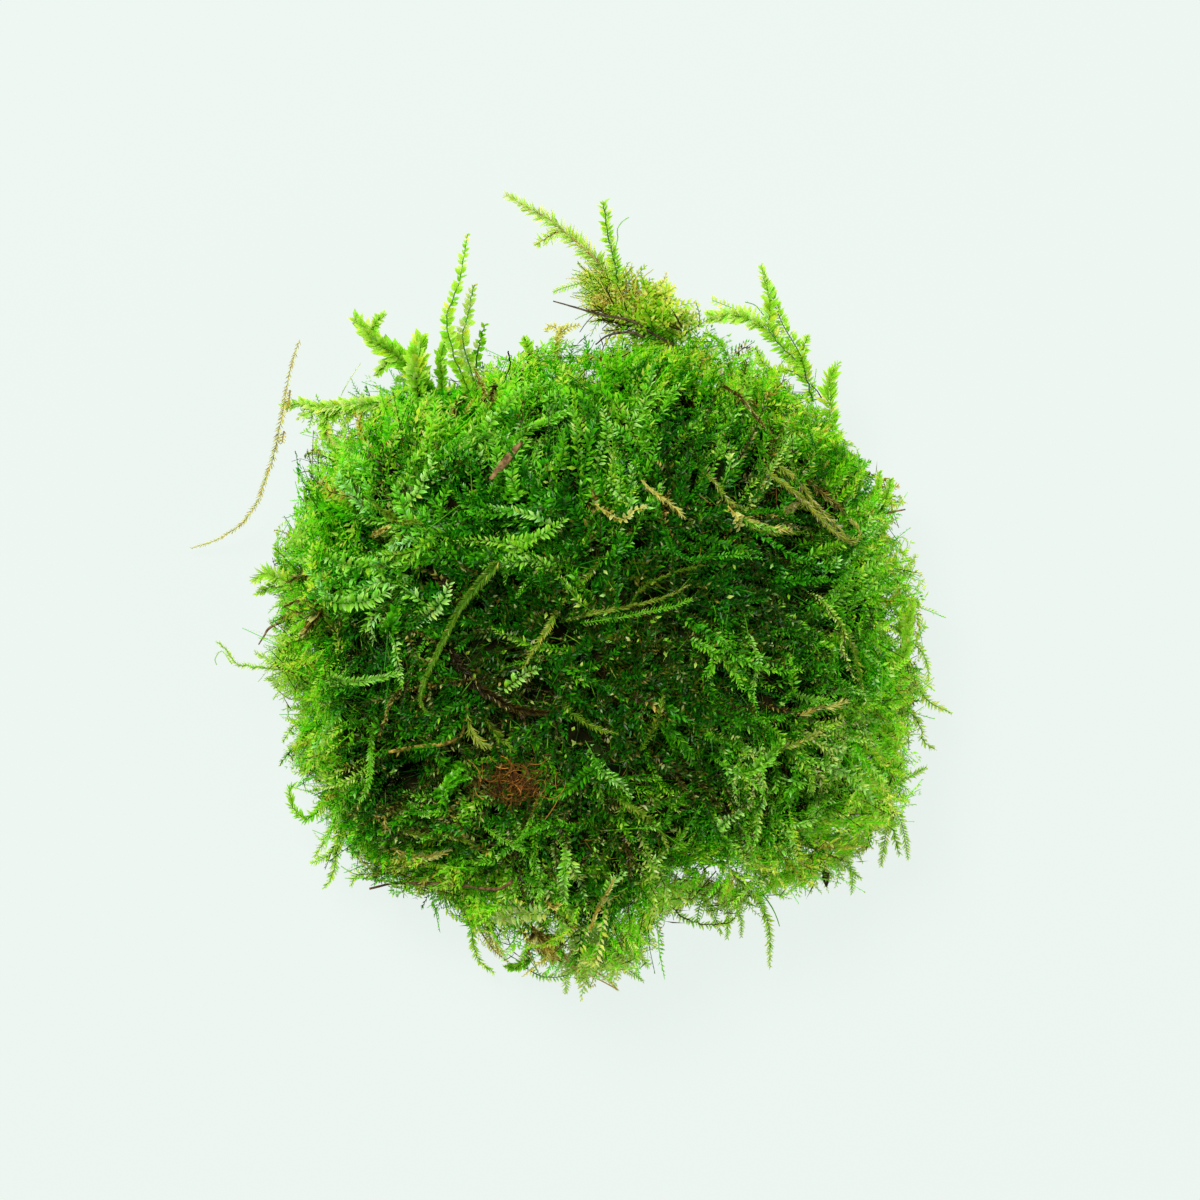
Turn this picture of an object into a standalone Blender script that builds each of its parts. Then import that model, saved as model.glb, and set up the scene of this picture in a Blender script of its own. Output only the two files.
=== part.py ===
"""A clump of living moss, as lifted from the ground and laid on a flat surface.

The felted middle is one lumpy cushion with a flat rest face. The shoots that
stand clear of it, and the twigs and litter caught in it, are solids of their
own, each cut back to leave a hairline gap to what it grows from or lies on.
The origin is on the resting plane under the middle of the cushion, +Y is the
side with the crest, and +Z is up.
"""

import math

import bmesh
import bpy
import numpy as np
from mathutils import Matrix, Vector
from mathutils.bvhtree import BVHTree

MM = 0.001

# Driving dimensions
CUSHION_RADIUS = 43.6 * MM
CUSHION_HEIGHT = 38.0 * MM
WAIST_HEIGHT = 13.0 * MM
DOME_POWER = 2.25
UNDERCUT = 1.5
CUSHION_DETAIL = 5
TUFT_COUNT = 250
TUFT_LENGTH = 7.0 * MM
TUFT_WIDTH = 3.1 * MM
TUFT_RISE = 3.4 * MM
TUFT_SINK = 0.45
TUFT_SEED = 7
BASE_FADE = 5.0 * MM
GAP = 0.3 * MM
TOOTH_SPACING = 1.8 * MM
TOOTH_DEPTH = 0.36
SLIM_HALF_WIDTH = 0.78
STEM_SPACING = 2.6 * MM

# Lobes and notches of the cushion's edge: azimuth, spread (degrees), rise
EDGE_LOBES = [
    (146, 17, 3.4 * MM),
    (60, 22, 2.2 * MM),
    (334, 13, 3.0 * MM),
    (22, 16, 0.8 * MM),
    (104, 11, -2.4 * MM),
    (190, 8, -1.4 * MM),
    (238, 13, -3.4 * MM),
    (264, 10, 1.6 * MM),
    (291, 11, -7.8 * MM),
]

# Mounds and hollows of the top: x, y, radius, rise
MOUNDS = [
    (-20 * MM, 22 * MM, 14 * MM, 3.2 * MM),
    (-36 * MM, 2 * MM, 7 * MM, 2.6 * MM),
    (-29 * MM, 4 * MM, 4 * MM, -2.2 * MM),
    (14 * MM, 26 * MM, 13 * MM, 2.2 * MM),
    (-12 * MM, -8 * MM, 9 * MM, -2.6 * MM),
    (-27 * MM, -16 * MM, 5 * MM, -4.2 * MM),
    (-10 * MM, -19 * MM, 5 * MM, -1.6 * MM),
    (3 * MM, -4 * MM, 7 * MM, 1.8 * MM),
    (28 * MM, -6 * MM, 12 * MM, 2.0 * MM),
    (31 * MM, 18 * MM, 8 * MM, -1.6 * MM),
    (-6 * MM, -33 * MM, 9 * MM, 2.4 * MM),
    (12 * MM, -21 * MM, 8 * MM, -1.8 * MM),
    (-33 * MM, -24 * MM, 8 * MM, 1.8 * MM),
]

# Colours, linear
LEAF_GREEN = (0.06, 0.25, 0.008)
BRIGHT_GREEN = (0.14, 0.42, 0.015)
PALE_GREEN = (0.32, 0.52, 0.12)
OLIVE = (0.16, 0.19, 0.02)
YELLOW_GREEN = (0.34, 0.42, 0.06)
ORANGE = (0.48, 0.27, 0.05)
RED_BROWN = (0.17, 0.055, 0.02)
DARK_BROWN = (0.045, 0.028, 0.015)

for old in list(bpy.data.objects):
    bpy.data.objects.remove(old, do_unlink=True)

clump = bpy.data.collections.new("moss_clump")
bpy.context.scene.collection.children.link(clump)


def material(name, colour, roughness=0.6):
    made = bpy.data.materials.new(name)
    made.use_nodes = True
    shader = made.node_tree.nodes["Principled BSDF"]
    shader.inputs["Base Color"].default_value = (*colour, 1)
    shader.inputs["Roughness"].default_value = roughness
    shader.inputs["Metallic"].default_value = 0
    return made


def add_object(name, mesh, colour, roughness=0.6):
    made = bpy.data.objects.new(name, mesh)
    clump.objects.link(made)
    mesh.materials.clear()
    mesh.materials.append(material(name, colour, roughness))
    return made


def mesh_points(mesh):
    flat = np.empty(len(mesh.vertices) * 3)
    mesh.vertices.foreach_get("co", flat)
    return flat.reshape(-1, 3)


def set_mesh_points(mesh, points):
    mesh.vertices.foreach_set("co", np.ascontiguousarray(points).ravel())
    mesh.update()


# The cushion


def edge_radius(azimuth):
    """Radius of the cushion's outline towards an azimuth in radians."""
    radius = np.full_like(azimuth, CUSHION_RADIUS)
    for centre, spread, rise in EDGE_LOBES:
        away = np.degrees(azimuth) - centre
        away = (away + 180) % 360 - 180
        radius += rise * np.exp(-((away / spread) ** 2))
    return radius


def dome(directions):
    """Bare dome without relief: a squashed sphere with an undercut base."""
    flat = np.hypot(directions[:, 0], directions[:, 1])
    up = directions[:, 2]
    azimuth = np.arctan2(directions[:, 1], directions[:, 0])
    lobed = CUSHION_RADIUS + (edge_radius(azimuth) - CUSHION_RADIUS) * flat**3
    reach = lobed * flat ** (2 / DOME_POWER)
    rise = np.clip(up, 0, 1) ** (2 / DOME_POWER)
    height = WAIST_HEIGHT + (CUSHION_HEIGHT - WAIST_HEIGHT) * rise
    height = height + WAIST_HEIGHT * UNDERCUT * np.clip(up, -1, 0)
    return np.stack([reach * np.cos(azimuth), reach * np.sin(azimuth), height], axis=1)


def mound_rise(points):
    """Height that the mounds and hollows add at each point of the top."""
    rise = np.zeros(len(points))
    for x, y, radius, height in MOUNDS:
        away = np.hypot(points[:, 0] - x, points[:, 1] - y)
        rise += height * np.exp(-((away / radius) ** 2))
    return rise * np.clip((points[:, 2] - WAIST_HEIGHT) / WAIST_HEIGHT, 0, 1)


def spread_directions(count, chance):
    """Evenly spread directions over the part of the sphere above the base."""
    order = np.arange(count) + 0.5
    up = 1 - 1.62 * order / count
    azimuth = order * math.pi * (3 - math.sqrt(5)) + chance.normal(0, 0.05, count)
    flat = np.sqrt(1 - up**2)
    return np.stack([flat * np.cos(azimuth), flat * np.sin(azimuth), up], axis=1)


def tuft_rise(points, normals):
    """Relief of the leafy tufts: long low bumps that lie like combed shoots."""
    chance = np.random.default_rng(TUFT_SEED)
    directions = spread_directions(TUFT_COUNT, chance)
    roots = dome(directions)
    roots[:, 2] += mound_rise(roots)
    outward = directions * (1, 1, 0.25)
    swirl = chance.normal(0, 0.9, TUFT_COUNT)
    turned = np.stack(
        [
            outward[:, 0] * np.cos(swirl) - outward[:, 1] * np.sin(swirl),
            outward[:, 0] * np.sin(swirl) + outward[:, 1] * np.cos(swirl),
            outward[:, 2] - 0.3,
        ],
        axis=1,
    )
    heights = TUFT_RISE * chance.uniform(0.45, 1.0, TUFT_COUNT)
    rise = np.zeros(len(points))
    for root, lean, height in zip(roots, turned, heights):
        nearest = np.argmin(np.sum((points - root) ** 2, axis=1))
        normal = normals[nearest]
        along = lean - normal * np.dot(lean, normal)
        along /= np.linalg.norm(along)
        across = np.cross(normal, along)
        offset = points - root
        inside = (offset @ along / TUFT_LENGTH) ** 2 + (offset @ across / TUFT_WIDTH) ** 2
        inside += (offset @ normal / TUFT_LENGTH) ** 2
        rise = np.maximum(rise, height * np.clip(1 - inside, 0, 1) ** 0.7)
    return rise * np.clip(points[:, 2] / BASE_FADE, 0, 1)


def make_cushion():
    body = bmesh.new()
    bmesh.ops.create_icosphere(body, subdivisions=CUSHION_DETAIL, radius=1)
    mesh = bpy.data.meshes.new("moss_cushion")
    body.to_mesh(mesh)
    body.free()
    points = dome(mesh_points(mesh))
    points[:, 2] += mound_rise(points)
    set_mesh_points(mesh, points)
    normals = np.array([vertex.normal for vertex in mesh.vertices])
    points += normals * (tuft_rise(points, normals) - TUFT_SINK * TUFT_RISE)[:, None]
    set_mesh_points(mesh, points)
    cut_base(mesh)
    return add_object("moss_cushion", mesh, LEAF_GREEN)


def cut_base(mesh):
    """Cut the mesh off flat at the resting plane and close it with one face."""
    body = bmesh.new()
    body.from_mesh(mesh)
    everything = list(body.verts) + list(body.edges) + list(body.faces)
    bmesh.ops.bisect_plane(
        body,
        geom=everything,
        plane_co=(0, 0, 0),
        plane_no=(0, 0, -1),
        clear_outer=True,
    )
    rim = [edge for edge in body.edges if edge.is_boundary]
    bmesh.ops.edgeloop_fill(body, edges=rim)
    bmesh.ops.recalc_face_normals(body, faces=body.faces)
    body.to_mesh(mesh)
    body.free()


# Cutting back what meets a neighbour


def inflated(thing):
    """A copy of a piece, larger by the gap that its neighbours keep to it."""
    mesh = thing.data.copy()
    points = mesh_points(mesh)
    normals = np.array([vertex.normal for vertex in mesh.vertices])
    set_mesh_points(mesh, points + normals * GAP)
    return bpy.data.objects.new(thing.name + "_cutter", mesh)


def boxes_meet(first, second):
    a = mesh_points(first.data)
    b = mesh_points(second.data)
    return bool(np.all(a.min(0) <= b.max(0)) and np.all(b.min(0) <= a.max(0)))


def keep_largest(mesh):
    """Remove every loose island but the one with the most vertices."""
    body = bmesh.new()
    body.from_mesh(mesh)
    left = set(body.verts)
    islands = []
    while left:
        island = {left.pop()}
        edge_of_island = list(island)
        while edge_of_island:
            vertex = edge_of_island.pop()
            for edge in vertex.link_edges:
                other = edge.other_vert(vertex)
                if other in left:
                    left.remove(other)
                    island.add(other)
                    edge_of_island.append(other)
        islands.append(island)
    islands.sort(key=len)
    for island in islands[:-1]:
        bmesh.ops.delete(body, geom=list(island), context="VERTS")
    body.to_mesh(mesh)
    body.free()


neighbours = []


def cut_back(piece):
    """Cut a piece where it runs into those made before it, and keep its main part."""
    for neighbour in neighbours:
        if not boxes_meet(piece, neighbour):
            continue
        cutter = inflated(neighbour)
        bpy.context.scene.collection.objects.link(cutter)
        cutter.hide_render = True
        cutter.display_type = "WIRE"
        cut = piece.modifiers.new("cut", "BOOLEAN")
        cut.operation = "DIFFERENCE"
        cut.solver = "EXACT"
        cut.use_self = True
        cut.object = cutter
        settled = bpy.context.evaluated_depsgraph_get()
        mesh = bpy.data.meshes.new_from_object(piece.evaluated_get(settled))
        piece.modifiers.clear()
        piece.data = mesh
        bpy.data.objects.remove(cutter)
        keep_largest(mesh)
    neighbours.append(piece)
    return piece


# Shoots and stems


def smooth_route(points, spacing):
    """Even steps along a smooth curve through the points (Catmull-Rom)."""
    knots = np.array(points, float) * MM
    knots = np.vstack([2 * knots[0] - knots[1], knots, 2 * knots[-1] - knots[-2]])
    fine = []
    for index in range(1, len(knots) - 2):
        before, start, end, after = knots[index - 1 : index + 3]
        t = np.linspace(0, 1, 24, endpoint=False)[:, None]
        fine.append(
            0.5
            * (
                2 * start
                + (end - before) * t
                + (2 * before - 5 * start + 4 * end - after) * t**2
                + (3 * start - before - 3 * end + after) * t**3
            )
        )
    fine = np.vstack(fine + [knots[-2:-1]])
    steps = np.linalg.norm(np.diff(fine, axis=0), axis=1)
    reached = np.concatenate([[0], np.cumsum(steps)])
    count = max(3, round(reached[-1] / spacing)) + 1
    wanted = np.linspace(0, reached[-1], count)
    return np.stack([np.interp(wanted, reached, fine[:, i]) for i in range(3)], axis=1)


def tube_mesh(name, route, radii, slim):
    """A closed tube along a route, four-sided if slim and six-sided if not."""
    curve = bpy.data.curves.new(name, "CURVE")
    curve.dimensions = "3D"
    curve.bevel_depth = 1
    curve.bevel_resolution = 0 if slim else 1
    curve.use_fill_caps = True
    spline = curve.splines.new("POLY")
    spline.points.add(len(route) - 1)
    for point, place, radius in zip(spline.points, route, radii):
        point.co = (*place, 1)
        point.radius = radius
    guide = bpy.data.objects.new(name + "_guide", curve)
    clump.objects.link(guide)
    settled = bpy.context.evaluated_depsgraph_get()
    mesh = bpy.data.meshes.new_from_object(guide.evaluated_get(settled))
    bpy.data.objects.remove(guide)
    body = bmesh.new()
    body.from_mesh(mesh)
    bmesh.ops.remove_doubles(body, verts=body.verts, dist=0.001 * MM)
    bmesh.ops.recalc_face_normals(body, faces=body.faces)
    body.to_mesh(mesh)
    body.free()
    return mesh


def shoot(name, route, half_widths, colour):
    """A leafy shoot: its leaf rows are the teeth of a tube as wide as they reach."""
    places = smooth_route(route, TOOTH_SPACING)
    along = np.linspace(0, 1, len(places))
    root, middle, tip = half_widths
    radii = np.interp(along, (0, 0.5, 0.88, 1), (root, middle, middle * 0.9, tip))
    teeth = np.where(np.arange(len(places)) % 2 == 0, 1.0, 1 - TOOTH_DEPTH)
    teeth[-1] = 1
    mesh = tube_mesh(name, places, radii * MM * teeth, middle < SLIM_HALF_WIDTH)
    return cut_back(add_object(name, mesh, colour))


def stem(name, route, radii, colour):
    """A bare stem or twig, tapering evenly from one radius to the other."""
    places = smooth_route(route, STEM_SPACING)
    mesh = tube_mesh(name, places, np.linspace(*radii, len(places)) * MM, True)
    return cut_back(add_object(name, mesh, colour, 0.75))


def laid_on(route, clearance):
    """Points over the cushion, moved to lie on its surface at the clearance."""
    laid = []
    for x, y in smooth_route([(x, y, 0) for x, y in route], STEM_SPACING)[:, :2]:
        hit = surface.ray_cast(Vector((x, y, 1)), Vector((0, 0, -1)))[0]
        laid.append((x / MM, y / MM, hit.z / MM + clearance))
    heights = np.array([point[2] for point in laid])
    eased = heights.copy()
    eased[1:-1] = np.maximum(heights[1:-1], (heights[:-2] + heights[2:]) / 2)
    return [(x, y, z) for (x, y, _), z in zip(laid, eased)]


cushion = make_cushion()
neighbours.append(cushion)
surface = BVHTree.FromObject(cushion, bpy.context.evaluated_depsgraph_get())

# The crest: a shaggy spray out of the north edge, with its shoots and dead wood

CREST_MIDDLE = Vector((8.0 * MM, 45.0 * MM, 16.5 * MM))
CREST_HALF_LENGTH = 12.0 * MM
CREST_HALF_WIDTH = 5.4 * MM
CREST_HALF_HEIGHT = 5.0 * MM
CREST_TAPER = 0.35
CREST_AZIMUTH = math.radians(138)
CREST_RAGGED = 0.14
CREST_DETAIL = 3


def make_crest_tuft():
    body = bmesh.new()
    bmesh.ops.create_icosphere(body, subdivisions=CREST_DETAIL, radius=1)
    mesh = bpy.data.meshes.new("crest_tuft")
    body.to_mesh(mesh)
    body.free()
    unit = mesh_points(mesh)
    ragged = 1 + CREST_RAGGED * np.sin(9 * unit[:, 0] + 2) * np.sin(8 * unit[:, 1])
    ragged += CREST_RAGGED * np.sin(15 * unit[:, 2] + 11 * unit[:, 0])
    narrow = 1 - CREST_TAPER * unit[:, 0]
    along = CREST_HALF_LENGTH * unit[:, 0] * ragged
    across = CREST_HALF_WIDTH * unit[:, 1] * ragged * narrow
    up = CREST_HALF_HEIGHT * unit[:, 2] * ragged * narrow
    x = along * math.cos(CREST_AZIMUTH) - across * math.sin(CREST_AZIMUTH)
    y = along * math.sin(CREST_AZIMUTH) + across * math.cos(CREST_AZIMUTH)
    set_mesh_points(mesh, np.stack([x, y, up], axis=1) + np.array(CREST_MIDDLE))
    return cut_back(add_object("crest_tuft", mesh, YELLOW_GREEN))


make_crest_tuft()

shoot(
    "crest_shoot",
    [
        (2.6, 50.0, 17), (0.6, 54.5, 19), (-2.7, 57.5, 20.5), (-7.1, 60.9, 21),
        (-11.2, 63.3, 20.5), (-13.2, 64.6, 20),
    ],
    (1.1, 1.35, 0.4), YELLOW_GREEN,
)
shoot(
    "crest_shoot_fork",
    [(-4.4, 59.2, 20.6), (-6.9, 58.1, 20), (-8.8, 56.7, 19.2)],
    (0.6, 0.8, 0.4), YELLOW_GREEN,
)
shoot(
    "crest_upright_shoot",
    [(3.4, 50.5, 20), (2.6, 54.5, 22.5), (1.7, 58.0, 24), (1.3, 61.2, 25), (1.0, 63.7, 25.5)],
    (1.2, 0.85, 0.8), BRIGHT_GREEN,
)
shoot(
    "crest_orange_sprig",
    [(-5.6, 40.8, 13), (-5.6, 43.4, 15), (-4.9, 45.5, 16.5), (-4.4, 46.8, 17)],
    (0.5, 0.8, 0.6), ORANGE,
)
stem(
    "crest_twig",
    [(11.5, 43.0, 22.2), (8.1, 44.8, 23), (4.9, 46.2, 23.2), (0.6, 47.4, 22.6), (-5.9, 49.2, 21.5)],
    (0.65, 0.18), DARK_BROWN,
)
stem(
    "crest_twig_fork",
    [(6.6, 44.2, 22.8), (4.5, 44.8, 22.8), (1.7, 44.4, 22), (0.0, 43.2, 21)],
    (0.35, 0.18), DARK_BROWN,
)

# North-west shoots

shoot(
    "broad_shoot",
    [
        (-22.6, 36.0, 15), (-25.1, 39.4, 17), (-28.4, 42.2, 19), (-31.6, 44.8, 20),
        (-34.2, 47.9, 20),
    ],
    (1.0, 1.35, 1.0), BRIGHT_GREEN,
)
shoot(
    "broad_shoot_upper_fork",
    [(-31.4, 44.9, 20.2), (-30.4, 46.4, 21), (-29.0, 47.9, 21)],
    (0.6, 0.85, 0.5), BRIGHT_GREEN,
)
shoot(
    "broad_shoot_lower_fork",
    [(-28.2, 42.0, 18.5), (-29.7, 40.3, 18), (-30.9, 38.9, 17)],
    (0.5, 0.9, 0.5), BRIGHT_GREEN,
)
shoot(
    "short_shoot",
    [(-24.6, 36.0, 20), (-24.8, 39.6, 22), (-24.6, 42.6, 22.5), (-23.7, 45.3, 22)],
    (0.7, 1.25, 0.9), BRIGHT_GREEN,
)
shoot(
    "tongue_shoot",
    [(-21.4, 36.5, 17), (-21.6, 40.5, 19), (-21.2, 43.2, 19.5), (-19.9, 45.2, 19)],
    (0.9, 1.1, 0.5), BRIGHT_GREEN,
)
shoot(
    "tall_shoot_west",
    [
        (-17.6, 36.5, 21), (-19.9, 42.4, 24), (-20.5, 46.9, 25), (-18.9, 51.4, 25),
        (-18.2, 55.5, 24), (-17.6, 59.3, 23),
    ],
    (0.7, 0.95, 0.35), LEAF_GREEN,
)
shoot(
    "tall_shoot_east",
    [(-16.6, 37.0, 17), (-18.4, 43.6, 20), (-17.7, 47.6, 20.5), (-16.7, 52.2, 20)],
    (0.7, 0.95, 0.5), BRIGHT_GREEN,
)
shoot(
    "slanting_shoot",
    [(-17.0, 38.0, 13.5), (-16.6, 42.4, 15.5), (-15.9, 44.8, 16.5), (-15.1, 47.0, 17)],
    (0.5, 0.8, 0.4), LEAF_GREEN,
)
shoot(
    "north_sprig",
    [(-7.8, 39.0, 15), (-9.2, 42.4, 17), (-10.3, 44.8, 17.5)],
    (0.9, 1.1, 0.4), BRIGHT_GREEN,
)

# North-east shoots

shoot(
    "arch_frond",
    [
        (30.6, 35.6, 13), (29.0, 40.2, 16), (25.8, 43.3, 18), (24.1, 45.6, 19),
        (24.3, 48.6, 19.5), (23.6, 52.2, 19), (22.8, 55.2, 18),
    ],
    (0.9, 1.5, 0.35), BRIGHT_GREEN,
)
shoot(
    "arch_branch",
    [
        (23.6, 45.4, 19), (22.0, 46.5, 19.5), (19.6, 47.4, 19.5), (17.2, 47.2, 19),
        (14.8, 47.1, 18),
    ],
    (0.8, 1.2, 0.9), PALE_GREEN,
)
shoot(
    "arch_side_sprig",
    [(28.6, 40.6, 16.5), (29.0, 42.9, 17.5), (29.9, 45.3, 18)],
    (0.6, 0.95, 0.4), BRIGHT_GREEN,
)
shoot(
    "inner_arch",
    [(20.0, 36.0, 15), (18.7, 39.9, 18), (17.8, 42.8, 19), (16.0, 44.6, 19), (14.5, 45.0, 18)],
    (0.9, 0.75, 0.5), LEAF_GREEN,
)
shoot(
    "inner_sprig",
    [(25.4, 36.0, 16), (24.2, 39.6, 18), (23.0, 41.4, 18.5), (22.0, 43.6, 18.5)],
    (0.8, 1.1, 0.4), BRIGHT_GREEN,
)
shoot(
    "northeast_sprig",
    [(33.4, 31.5, 13), (32.6, 36.4, 14.5), (32.9, 39.0, 15), (34.5, 41.6, 15)],
    (0.9, 0.8, 0.2), BRIGHT_GREEN,
)

# West shoots

shoot(
    "northwest_bough",
    [
        (-26.5, 33.4, 15), (-30.2, 35.0, 16.5), (-34.7, 34.9, 17), (-38.6, 34.6, 16.5),
        (-42.2, 35.9, 15.5),
    ],
    (2.2, 2.1, 1.0), LEAF_GREEN,
)
shoot(
    "northwest_bough_fork",
    [(-37.6, 34.4, 16.4), (-37.8, 31.6, 15.5), (-36.0, 28.4, 14.5), (-33.6, 25.6, 14)],
    (1.1, 1.4, 1.2), LEAF_GREEN,
)
shoot(
    "west_fork_upper",
    [(-41.6, 9.0, 13), (-44.6, 10.9, 14), (-46.7, 11.4, 14), (-48.7, 9.7, 13.5)],
    (0.9, 0.95, 0.4), BRIGHT_GREEN,
)
shoot(
    "west_fork_lower",
    [(-41.6, 8.4, 10), (-45.1, 9.6, 11), (-46.9, 9.2, 11), (-48.6, 8.2, 10.5)],
    (0.5, 0.6, 0.25), OLIVE,
)
stem(
    "west_stub",
    [(-42.5, 5.4, 9), (-45.9, 3.9, 10.5), (-46.9, 2.6, 10.5), (-47.7, 1.4, 10)],
    (0.5, 0.4), OLIVE,
)
shoot(
    "pale_curved_shoot",
    [
        (-42.5, -2.2, 12), (-47.5, -1.8, 13), (-50.5, -1.3, 12.5), (-52.3, 0.8, 11.5),
        (-53.9, 2.0, 11),
    ],
    (0.4, 0.42, 0.3), PALE_GREEN,
)
shoot(
    "west_low_sprig",
    [(-40.0, -12.4, 9), (-42.6, -13.4, 10), (-44.1, -14.7, 9.5), (-45.0, -16.3, 9)],
    (0.4, 0.42, 0.25), OLIVE,
)
shoot(
    "hook_shoot",
    [
        (-37.4, -19.4, 10), (-39.5, -22.3, 10.5), (-41.2, -23.2, 10.5), (-42.8, -21.5, 10),
        (-43.3, -19.3, 10), (-42.3, -17.8, 10),
    ],
    (0.6, 0.72, 0.6), OLIVE,
)
shoot(
    "loose_orange_shoot",
    [
        (-41.4, 44.1, 17), (-43.0, 38.6, 17.6), (-44.2, 32.2, 15.2), (-46.3, 25.8, 11.4),
        (-48.4, 20.9, 8.0), (-52.8, 17.0, 4.2), (-57.0, 15.3, 2.0), (-59.7, 15.1, 1.2),
    ],
    (0.3, 0.62, 0.3), ORANGE,
)

# South shoots

shoot(
    "southwest_sprig",
    [(-35.6, -22.0, 9), (-36.6, -27.5, 9.5), (-37.2, -30.8, 8.5), (-38.8, -33.6, 7)],
    (0.9, 0.8, 0.3), BRIGHT_GREEN,
)
shoot(
    "southwest_side_sprig",
    [(-36.0, -22.5, 13), (-38.7, -27.0, 12.5), (-39.9, -29.0, 12)],
    (0.5, 0.6, 0.3), YELLOW_GREEN,
)
shoot(
    "south_hanging_sprig",
    [(-17.6, -34.0, 7), (-17.6, -39.4, 6.5), (-16.9, -43.2, 5), (-14.3, -46.0, 3)],
    (0.6, 0.62, 0.35), BRIGHT_GREEN,
)
shoot(
    "south_yellow_sprig",
    [(-15.6, -35.5, 10), (-15.0, -39.8, 10.5), (-12.6, -42.9, 9.5)],
    (0.6, 0.85, 0.5), ORANGE,
)
shoot(
    "south_tip_sprig",
    [(4.0, -38.0, 10), (5.6, -42.0, 10), (7.8, -44.4, 9)],
    (1.0, 0.8, 0.3), PALE_GREEN,
)
shoot(
    "fringe_stem",
    [
        (9.4, -33.0, 7), (11.4, -36.6, 8), (14.6, -38.1, 8), (18.2, -38.2, 8),
        (21.2, -36.8, 8),
    ],
    (0.5, 0.75, 0.4), YELLOW_GREEN,
)
shoot(
    "hanging_shoot",
    [
        (18.6, -30.4, 13), (22.4, -33.9, 13), (24.0, -37.0, 11.5), (24.7, -41.0, 8.5),
        (24.9, -45.2, 5),
    ],
    (0.9, 0.8, 0.3), BRIGHT_GREEN,
)
shoot(
    "southeast_sprig",
    [(30.5, -26.6, 9), (34.2, -29.4, 9.5), (36.4, -30.8, 9), (38.2, -32.3, 8)],
    (0.6, 0.65, 0.35), LEAF_GREEN,
)
shoot(
    "southeast_tip",
    [(41.0, -21.8, 11), (42.3, -26.0, 11), (43.1, -28.9, 10)],
    (0.8, 0.7, 0.3), BRIGHT_GREEN,
)

# East shoots

shoot(
    "bright_east_shoot",
    [(40.2, -4.6, 15.5), (43.2, 0.6, 18), (43.6, 4.6, 18.5), (44.4, 8.6, 18.5)],
    (1.2, 1.1, 0.8), BRIGHT_GREEN,
)
shoot(
    "east_hanging_arc",
    [(41.6, 4.2, 13), (45.2, 1.2, 14.5), (46.7, -1.6, 14), (46.9, -4.6, 13)],
    (0.4, 0.75, 0.4), PALE_GREEN,
)
shoot(
    "east_lower_shoot",
    [(40.6, -1.4, 10), (45.2, -4.6, 10.5), (47.4, -6.8, 10), (50.9, -8.6, 8.5)],
    (0.9, 0.9, 0.35), BRIGHT_GREEN,
)
shoot(
    "east_drooping_sprig",
    [(41.4, -6.0, 12), (45.1, -9.0, 13), (46.3, -12.3, 12), (48.2, -13.5, 11)],
    (0.6, 0.7, 0.35), YELLOW_GREEN,
)
shoot(
    "east_low_sprig",
    [(42.4, -18.4, 9), (45.4, -16.9, 9), (47.3, -15.9, 8.5)],
    (0.5, 0.55, 0.3), PALE_GREEN,
)
shoot(
    "east_upper_sprig",
    [(37.0, 19.4, 17), (39.2, 22.6, 18), (39.7, 26.1, 18)],
    (0.9, 0.8, 0.5), BRIGHT_GREEN,
)

# Litter and the old stems that lie on the cushion

FLAKE_LENGTH = 6.6 * MM
FLAKE_WIDTH = 1.3 * MM
FLAKE_THICKNESS = 0.6 * MM
FLAKE_MIDDLE = (-13.0, 26.6)
FLAKE_AZIMUTH = math.radians(50)
FLAKE_LIFT = 0.9 * MM
EDGE_BEVEL = 0.12 * MM
LEAF_LENGTH = 3.0 * MM
LEAF_WIDTH = 1.1 * MM
LEAF_THICKNESS = 0.4 * MM
LEAF_PLACE = (32.4 * MM, -31.2 * MM, 13.0 * MM)
TANGLE_MIDDLE = (-10.9, -17.2)
TANGLE_HALF_SIZES = (5.6 * MM, 3.0 * MM, 1.1 * MM)
TANGLE_LIFT = 0.8 * MM
TANGLE_DETAIL = 2


def flat_piece(name, size, place, azimuth, colour):
    """A chip of bark or a dead leaf: a box with its long edges bevelled round."""
    body = bmesh.new()
    bmesh.ops.create_cube(body, size=1)
    bmesh.ops.scale(body, vec=size, verts=body.verts)
    edges = list(body.edges)
    bmesh.ops.bevel(body, geom=edges, offset=EDGE_BEVEL, segments=1, affect="EDGES")
    bmesh.ops.transform(
        body, matrix=Matrix.Translation(place) @ Matrix.Rotation(azimuth, 4, "Z"), verts=body.verts
    )
    mesh = bpy.data.meshes.new(name)
    body.to_mesh(mesh)
    body.free()
    return cut_back(add_object(name, mesh, colour, 0.8))


def on_surface(spot, lift):
    """The place at a height over the cushion's surface, from x and y in mm."""
    x, y = spot[0] * MM, spot[1] * MM
    hit = surface.ray_cast(Vector((x, y, 1)), Vector((0, 0, -1)))[0]
    return (x, y, hit.z + lift)


def make_tangle():
    """The knot of red-brown rhizoids: a flat ragged pad."""
    body = bmesh.new()
    bmesh.ops.create_icosphere(body, subdivisions=TANGLE_DETAIL, radius=1)
    mesh = bpy.data.meshes.new("rhizoid_tangle")
    body.to_mesh(mesh)
    body.free()
    unit = mesh_points(mesh)
    ragged = 1 + 0.18 * np.sin(7 * unit[:, :1] + 5 * unit[:, 1:2])
    place = np.array(on_surface(TANGLE_MIDDLE, TANGLE_LIFT))
    set_mesh_points(mesh, unit * ragged * np.array(TANGLE_HALF_SIZES) + place)
    return cut_back(add_object("rhizoid_tangle", mesh, RED_BROWN, 0.8))


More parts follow.
